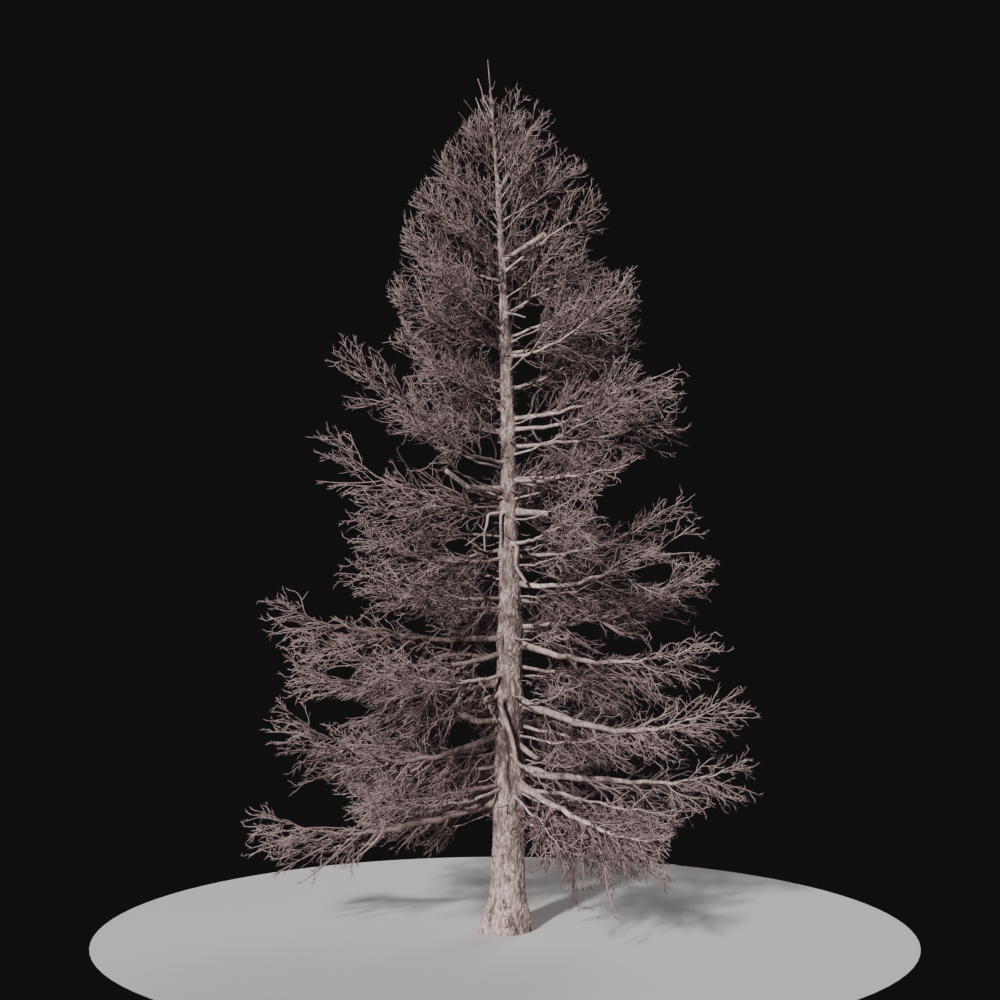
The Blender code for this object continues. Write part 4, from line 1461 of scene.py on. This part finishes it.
class Coat:
    """A material in the making: its shader and the nodes that feed it."""

    def __init__(self, name: str) -> None:
        """Start a material."""
        self.material = bpy.data.materials.new(name)
        self.material.use_nodes = True
        self.tree = self.material.node_tree
        self.shader = self.tree.nodes["Principled BSDF"]
        self.place = self.node("TexCoord", {}).outputs["Object"]

    def feed(self, node: bpy.types.Node, feeds: dict[str | int, Feed]) -> None:
        """Give a node's inputs their plain values, or join them to the sockets that feed them."""
        for entry, value in feeds.items():
            if isinstance(value, bpy.types.NodeSocket):
                self.tree.links.new(value, node.inputs[entry])
            else:
                node.inputs[entry].default_value = value

    def node(self, kind: str, feeds: dict[str | int, Feed], **settings: str) -> bpy.types.Node:
        """Add a node.

        Args:
            kind: which node it is.
            feeds: what its inputs get.
            settings: choices among its ways of working, which decide what inputs it has.

        Returns:
            The node.
        """
        made = self.tree.nodes.new(f"ShaderNode{kind}")
        for name, choice in settings.items():
            setattr(made, name, choice)
        self.feed(made, feeds)
        return made

    def reckoned(self, operation: str, *values: Feed) -> bpy.types.NodeSocket:
        """What one arithmetic operation makes of some values."""
        return self.node("Math", dict(enumerate(values)), operation=operation).outputs["Value"]

    def mixed(self, share: Feed, first: Feed, second: Feed) -> bpy.types.NodeSocket:
        """Two colours mixed, the second by its share."""
        colours = [(*c, 1.0) if isinstance(c, tuple) else c for c in (first, second)]
        feeds = {"Factor": share, "A": colours[0], "B": colours[1]}
        return self.node("Mix", feeds, data_type="RGBA").outputs["Result"]

    def ranged(self, value: Feed, low: float, high: float, least: float = 0.0,
               most: float = 1.0) -> bpy.types.NodeSocket:
        """Spread a value between two limits over another range.

        Args:
            value: the value.
            low: the limit that gives the least.
            high: the limit that gives the most.
            least: the result at the low limit.
            most: the result at the high limit.

        Returns:
            The result's socket.
        """
        feeds = {"Value": value, "From Min": low, "From Max": high, "To Min": least, "To Max": most}
        return self.node("MapRange", feeds).outputs["Result"]

    def noise(self, scale: tuple[float, float, float], detail: float) -> bpy.types.NodeSocket:
        """A noise in the piece's own coordinates.

        Args:
            scale: cells to the metre along each axis.
            detail: how many finer layers it has.

        Returns:
            The noise's socket.
        """
        stretch = self.node("Mapping", {"Vector": self.place, "Scale": scale})
        feeds = {"Vector": stretch.outputs["Vector"], "Scale": 1.0, "Detail": detail, "Roughness": 0.62}
        return self.node("TexNoise", feeds).outputs["Fac"]

    def relief(self, height: Feed, strength: float, distance: float) -> bpy.types.NodeSocket:
        """The bent normals of a fine relief."""
        feeds = {"Height": height, "Strength": strength, "Distance": distance}
        return self.node("Bump", feeds).outputs["Normal"]


@dataclass(frozen=True)
class BarkFinish:
    """Dry, weathered bark: pale plates, brown furrows, thin cracks, a fine fibrous grain and a band of
    painted shade round the torn stretch of the stem.
    """

    name: str
    ridge: tuple[float, float, float] = (0.320, 0.240, 0.228)
    ridge_pale: tuple[float, float, float] = (0.680, 0.535, 0.500)
    patch_scale: tuple[float, float, float] = (2.6, 2.6, 2.6)
    foot: tuple[float, float, float] = (0.61, 0.468, 0.432)
    foot_height: float = 1.5
    furrow: tuple[float, float, float] = (0.062, 0.041, 0.037)
    furrow_most: float = 0.85
    fibre_scale: tuple[float, float, float] = (34.0, 34.0, 7.0)
    crack_size: tuple[float, float, float] = (0.052, 0.052, 0.110)
    crack_sway: tuple[float, float, float] = (0.05, 0.05, 0.10)
    crack_sway_scale: float = 9.0
    crack_patch_scale: tuple[float, float, float] = (7.0, 7.0, 4.0)
    crack_strength: float = 0.90
    streak_scale: tuple[float, float, float] = (17.0, 17.0, 4.5)
    streak_strength: float = 0.78
    # A band of painted shade: extra dark streaks at this height, within this reach of it, by this share.
    shade_band_height: float = 2.72
    shade_band_reach: float = 0.75
    shade_band_share: float = 0.07
    roughness: float = 0.9
    specular: float = 0.25
    grain: float = 1.0
    grain_height: float = 0.009

    def cracks(self, coat: Coat) -> bpy.types.NodeSocket:
        """Thin cracks round uneven plates, 0 between them and 1 along their middle."""
        sway = coat.node("TexNoise", {"Vector": coat.place, "Scale": self.crack_sway_scale})
        swayed = {0: sway.outputs["Color"], 1: self.crack_sway, 2: coat.place}
        shift = coat.node("VectorMath", swayed, operation="MULTIPLY_ADD")
        scale = tuple(1.0 / size for size in self.crack_size)
        stretch = coat.node("Mapping", {"Vector": shift.outputs["Vector"], "Scale": scale})
        feeds = {"Vector": stretch.outputs["Vector"], "Scale": 1.0}
        plates = coat.node("TexVoronoi", feeds, feature="DISTANCE_TO_EDGE")
        return coat.ranged(plates.outputs["Distance"], 0.14, 0.02)

    def material(self) -> bpy.types.Material:
        """Make the material."""
        coat = Coat(self.name)
        height = coat.node("SeparateXYZ", {"Vector": coat.place}).outputs["Z"]
        fibre = coat.noise(self.fibre_scale, 6.0)
        patch = coat.ranged(coat.noise(self.patch_scale, 3.0), 0.35, 0.68)
        low = coat.ranged(height, self.foot_height, 0.35 * self.foot_height)
        plates = coat.mixed(low, coat.mixed(patch, self.ridge, self.ridge_pale), self.foot)
        # The furrows of the mesh, their edges broken by the fibres.
        furrow = coat.node("Attribute", {}, attribute_name="furrow").outputs["Fac"]
        broken = coat.reckoned("MULTIPLY_ADD", fibre, 0.9, furrow)
        depth = coat.ranged(broken, 0.45, 1.25, most=self.furrow_most)
        furrowed = coat.mixed(depth, plates, self.furrow)
        # Thin cracks, more in some places than in others.
        where = coat.ranged(coat.noise(self.crack_patch_scale, 2.0), 0.38, 0.62, most=self.crack_strength)
        cracked = coat.mixed(coat.reckoned("MULTIPLY", self.cracks(coat), where), furrowed, self.furrow)
        # Dark upright streaks; along the torn stretch of the stem a band of painted shade adds more of
        # them, for the shade of the snags in front and of the torn bark's hollows.
        shade_band = coat.reckoned("COMPARE", height, self.shade_band_height, self.shade_band_reach)
        streaks_and_shade = coat.reckoned("MULTIPLY_ADD", shade_band, self.shade_band_share, coat.noise(self.streak_scale, 4.0))
        streak = coat.ranged(streaks_and_shade, 0.48, 0.62, most=self.streak_strength)
        coat.feed(coat.shader, {
            "Base Color": coat.mixed(streak, cracked, self.furrow),
            "Normal": coat.relief(fibre, 0.7, self.grain_height * self.grain),
            "Roughness": self.roughness,
            "Specular IOR Level": self.specular,
        })
        return coat.material


@dataclass(frozen=True)
class TwigFinish:
    """Thin dry bark of one plain tint, with a fine scaly bump."""

    tint: Tint
    roughness: float = 0.82
    roughness_spread: float = 0.12
    specular: float = 0.25
    scales_to_metre: float = 160.0
    scale_height: float = 0.002

    def material(self) -> bpy.types.Material:
        """Make the material."""
        coat = Coat(f"dry_twig_{self.tint.name.lower()}")
        feeds = {"Vector": coat.place, "Scale": self.scales_to_metre, "Detail": 2.0}
        scales = coat.node("TexNoise", feeds).outputs["Fac"]
        smoothest = self.roughness - self.roughness_spread
        roughest = self.roughness + self.roughness_spread
        coat.feed(coat.shader, {
            "Base Color": (*self.tint.value, 1.0),
            "Normal": coat.relief(scales, 0.5, self.scale_height),
            "Roughness": coat.ranged(scales, 0.0, 1.0, smoothest, roughest),
            "Specular IOR Level": self.specular,
        })
        return coat.material


@dataclass(frozen=True)
class PlainFinish:
    """A plain matt surface with a faint mottle."""

    name: str
    colour: tuple[float, float, float]
    roughness: float = 0.9
    mottle: float = 0.0
    mottle_scale: float = 1.5

    def material(self) -> bpy.types.Material:
        """Make the material."""
        coat = Coat(self.name)
        noise = coat.node("TexNoise", {"Vector": coat.place, "Scale": self.mottle_scale})
        dark = tuple(part * (1.0 - self.mottle) for part in self.colour)
        pale = tuple(part * (1.0 + self.mottle) for part in self.colour)
        coat.feed(coat.shader, {
            "Base Color": coat.mixed(noise.outputs["Fac"], dark, pale),
            "Roughness": self.roughness,
        })
        return coat.material


# --- limbs ----------------------------------------------------------------------------------------
@dataclass
class Limbs:
    """The bark of every bough, gathered by the side of the crown; the left side's bark is darkened with
    painted shade.
    """

    boughs: list[Bough]
    limb_tube: BarkTube = BarkTube(sides=14, ring_step=0.018, ridge=0.13, knot=0.34)
    bough_tube: BarkTube = BarkTube(sides=8, ring_step=0.026, ridge=0.08, knot=0.28)

    def build(self, finish: BarkFinish, painted_shade: BarkFinish) -> list[bpy.types.Object]:
        """Make one piece for each side of the crown.

        Args:
            finish: the boughs' bark.
            painted_shade: a copy of the boughs' bark darkened with painted shade, for the boughs on the
                left.

        Returns:
            The pieces.
        """
        made = []
        for side in Side:
            # The boughs on the left get the copy of their bark darkened with painted shade.
            material = (painted_shade if side is Side.LEFT else finish).material()
            shell = Shell()
            for bough in (b for b in self.boughs if b.side() is side):
                tube = self.limb_tube if bough.limb else self.bough_tube
                begin = 0.3 * float(TRUNK.radius(bough.height)) / bough.reach
                tube.add_to(shell, bough, bough.reach, begin, bough.seed())
            LOG.info("boughs %s: %d triangles", side.name, shell.triangles())
            piece = shell.to_object(f"bough_bark_{side.name.lower()}", [material])
            nodes = [f"bough_{b.name}" for b in BOUGHS if b.limb and b.side() is side]
            if nodes:
                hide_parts(*nodes)
            made.append(piece)
        return made


@dataclass
class BrokenStubs:
    """The stubs of broken limbs and the crooked snags, with splintered ends of bare wood."""

    stubs: tuple[Stub, ...]
    snags: tuple[Snag, ...]
    tube: BarkTube = BarkTube(sides=18, ring_step=0.012, ridge=0.10, knot=0.3, splinter=0.07)
    snag_tube: BarkTube = BarkTube(sides=10, ring_step=0.014, ridge=0.10, knot=0.3, splinter=0.03)

    def build(self, bark: BarkFinish, wood: PlainFinish) -> bpy.types.Object:
        """Make the stubs as one piece.

        Args:
            bark: the finish of their sides.
            wood: the finish of their broken ends.

        Returns:
            The piece.
        """
        shell = Shell()
        for number, stub in enumerate(self.stubs):
            begin = 0.3 * float(TRUNK.radius(stub.height)) / stub.length
            self.tube.add_to(shell, stub, stub.length, begin, 31 * number + 7, end_slot=1)
        for number, snag in enumerate(self.snags):
            self.snag_tube.add_to(shell, snag, snag.length(), 0.0, 17 * number + 3, end_slot=1)
        LOG.info("stubs and snags: %d triangles", shell.triangles())
        piece = shell.to_object("broken_stubs", [bark.material(), wood.material()])
        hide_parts(*(stub.name for stub in self.stubs))
        return piece


# --- studio ---------------------------------------------------------------------------------------
@dataclass
class Studio:
    """A plain pale floor, soft light and the camera."""

    floor_radius: float = 5.6
    floor_sides: int = 96
    camera_place: tuple[float, float, float] = (-0.065, -26.5, 5.80)
    camera_aim: tuple[float, float, float] = (-0.065, 0.0, 5.93)
    focal_px: float = 1921.0
    frame_px: float = 1000.0
    sensor_mm: float = 36.0
    world_grey: float = 0.008
    far_end: float = 200.0

    def build(self) -> None:
        """Make the floor, the lights and the camera."""
        mesh = bpy.data.meshes.new("studio_floor")
        turn = full_turn(self.floor_sides)
        rim = [(self.floor_radius * math.cos(a), self.floor_radius * math.sin(a), 0.0) for a in turn]
        mesh.from_pydata(rim, [], [tuple(range(self.floor_sides))])
        floor = bpy.data.objects.new("studio_floor", mesh)
        bpy.context.scene.collection.objects.link(floor)
        mesh.materials.append(PlainFinish("pale_floor", (0.58, 0.57, 0.56), 0.95, 0.02).material())
        world = bpy.data.worlds.new("studio_surround")
        world.use_nodes = True
        surround = world.node_tree.nodes["Background"]
        surround.inputs["Color"].default_value = (self.world_grey,) * 3 + (1.0,)
        surround.inputs["Strength"].default_value = 1.0
        bpy.context.scene.world = world
        self.light("key_light", (-0.38, -0.80, 0.48), 5.2, 4.0, (1.0, 0.97, 0.97))
        self.light("fill_light", (0.75, -0.65, 0.30), 0.22, 40.0, (0.95, 0.97, 1.0))
        self.light("back_light", (0.45, 0.88, 0.42), 1.5, 30.0, (1.0, 0.98, 0.96))
        data = bpy.data.cameras.new("studio_camera")
        data.sensor_width = self.sensor_mm
        data.lens = self.sensor_mm * self.focal_px / self.frame_px
        data.clip_end = self.far_end
        camera = bpy.data.objects.new("studio_camera", data)
        camera.location = self.camera_place
        aim = Vector(self.camera_aim) - Vector(self.camera_place)
        camera.rotation_euler = aim.to_track_quat("-Z", "Y").to_euler()
        bpy.context.scene.collection.objects.link(camera)
        bpy.context.scene.camera = camera

    @staticmethod
    def light(name: str, towards: tuple[float, float, float], strength: float, angle: float,
              colour: tuple[float, float, float]) -> None:
        """Add one far, soft light.

        Args:
            name: the light's name.
            towards: the direction in which the light stands, seen from the tree.
            strength: in watts for each square metre.
            angle: how wide the light looks, in degrees.
            colour: the light's tint.
        """
        data = bpy.data.lights.new(name, "SUN")
        data.energy = strength
        data.angle = math.radians(angle)
        data.color = colour
        lamp = bpy.data.objects.new(name, data)
        lamp.rotation_euler = Vector(towards).to_track_quat("Z", "Y").to_euler()
        bpy.context.scene.collection.objects.link(lamp)


# --- the tree -------------------------------------------------------------------------------------
@dataclass(frozen=True)
class CrownHabit:
    """How the boughs' pitch, length and spacing change from the foot of the crown to its top."""

    foot: float = 1.55
    top: float = 10.9
    stations: tuple[float, ...] = (1.5, 4.0, 6.0, 8.0, 9.0, 10.0, 11.0)
    slopes: tuple[float, ...] = (-0.28, -0.12, 0.05, 0.35, 0.62, 1.10, 1.60)
    rises: tuple[float, ...] = (0.00, 0.14, 0.34, 0.58, 0.76, 1.20, 1.65)
    gaps: tuple[float, ...] = (0.24, 0.22, 0.17, 0.13, 0.11, 0.09, 0.08)
    widest_height: float = 2.2
    widest_reach: float = 3.25
    narrowing: float = 0.62
    least_share: float = 0.06
    front: tuple[float, float] = (242.0, 286.0)
    turned_aside: float = 46.0
    shortest: float = 0.4
    cut_back: float = 0.85
    seed: int = 977

    def full_reach(self, height: float) -> float:
        """How far the longest boughs reach from a height."""
        share = max(0.0, height - self.widest_height) / (self.top - self.widest_height)
        return self.widest_reach * max(self.least_share, 1.0 - share) ** self.narrowing

    def lesser_boughs(self) -> list[Bough]:
        """The thinner boughs that fill the crown between the main ones."""
        draw = random.Random(self.seed)
        rows = []
        height = self.foot
        while height < self.top:
            number = len(rows)
            azimuth = math.degrees(number * GOLDEN_ANGLE) % 360.0
            if self.front[0] < azimuth < self.front[1]:
                azimuth += self.turned_aside if number % 2 else -self.turned_aside
            reach = self.full_reach(height) * draw.uniform(0.52, 0.94)
            slope = float(np.interp(height, self.stations, self.slopes)) + draw.uniform(-0.08, 0.08)
            rise = reach * float(np.interp(height, self.stations, self.rises))
            swing = reach * draw.uniform(-0.12, 0.12)
            branches = max(5, int(reach * 4))
            name = f"lesser_{number:02d}"
            bough = Bough(name, height, azimuth, reach, slope, rise, 2.0, swing, 0.0, 0.7, branches)
            while bough.reach > self.shortest and self.ends_in_open_sky(bough):
                bough = replace(
                    bough, reach=self.cut_back * bough.reach, rise=self.cut_back * bough.rise
                )
            rows.append(bough)
            height += float(np.interp(height, self.stations, self.gaps)) * draw.uniform(0.75, 1.25)
        return rows

    @staticmethod
    def ends_in_open_sky(bough: Bough) -> bool:
        """Whether the outer part of a bough crosses an opening or the crown's outline."""
        return bool(np.any(in_open_sky(bough.points(np.linspace(0.6, 1.0, 9)))))


def main() -> None:
    """Build and dress the whole tree."""
    logging.basicConfig(level=logging.INFO, format="%(message)s")
    every_bough = list(BOUGHS) + list(COMPANIONS) + CrownHabit().lesser_boughs()
    LOG.info("%d boughs", len(every_bough))
    trunk = TRUNK.build(every_bough, BarkFinish("weathered_trunk_bark"))
    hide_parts("trunk")
    pieces = [trunk]
    bough_finish = BarkFinish(
        "weathered_bough_bark", ridge=(0.46, 0.350, 0.328), ridge_pale=(0.76, 0.610, 0.580),
        foot_height=0.2, crack_size=(0.030, 0.030, 0.030), crack_strength=0.60, streak_strength=0.45,
        grain=0.9,
    )
    # A copy of the bough bark darkened with painted shade, for the boughs on the left.
    painted_shade_finish = replace(
        bough_finish, name="painted_shade_bough_bark", ridge=(0.180, 0.130, 0.123),
        ridge_pale=(0.34, 0.255, 0.244),
    )
    for piece in Limbs(every_bough).build(bough_finish, painted_shade_finish):
        pieces.append(piece)
    wood = PlainFinish("bare_broken_wood", (0.42, 0.31, 0.22), 0.85, 0.25, 40.0)
    stubs = BrokenStubs(STUBS, SNAGS).build(bough_finish, wood)
    pieces.append(stubs)
    twig_finishes = [TwigFinish(tint).material() for tint in Tint]
    for piece in Crown(every_bough).build(twig_finishes):
        pieces.append(piece)
    for piece in pieces:
        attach(piece, "root")
        LOG.info("piece %s: %d faces", piece.name, len(piece.data.polygons))
    Studio().build()
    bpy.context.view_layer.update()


if __name__ == "__main__":
    main()
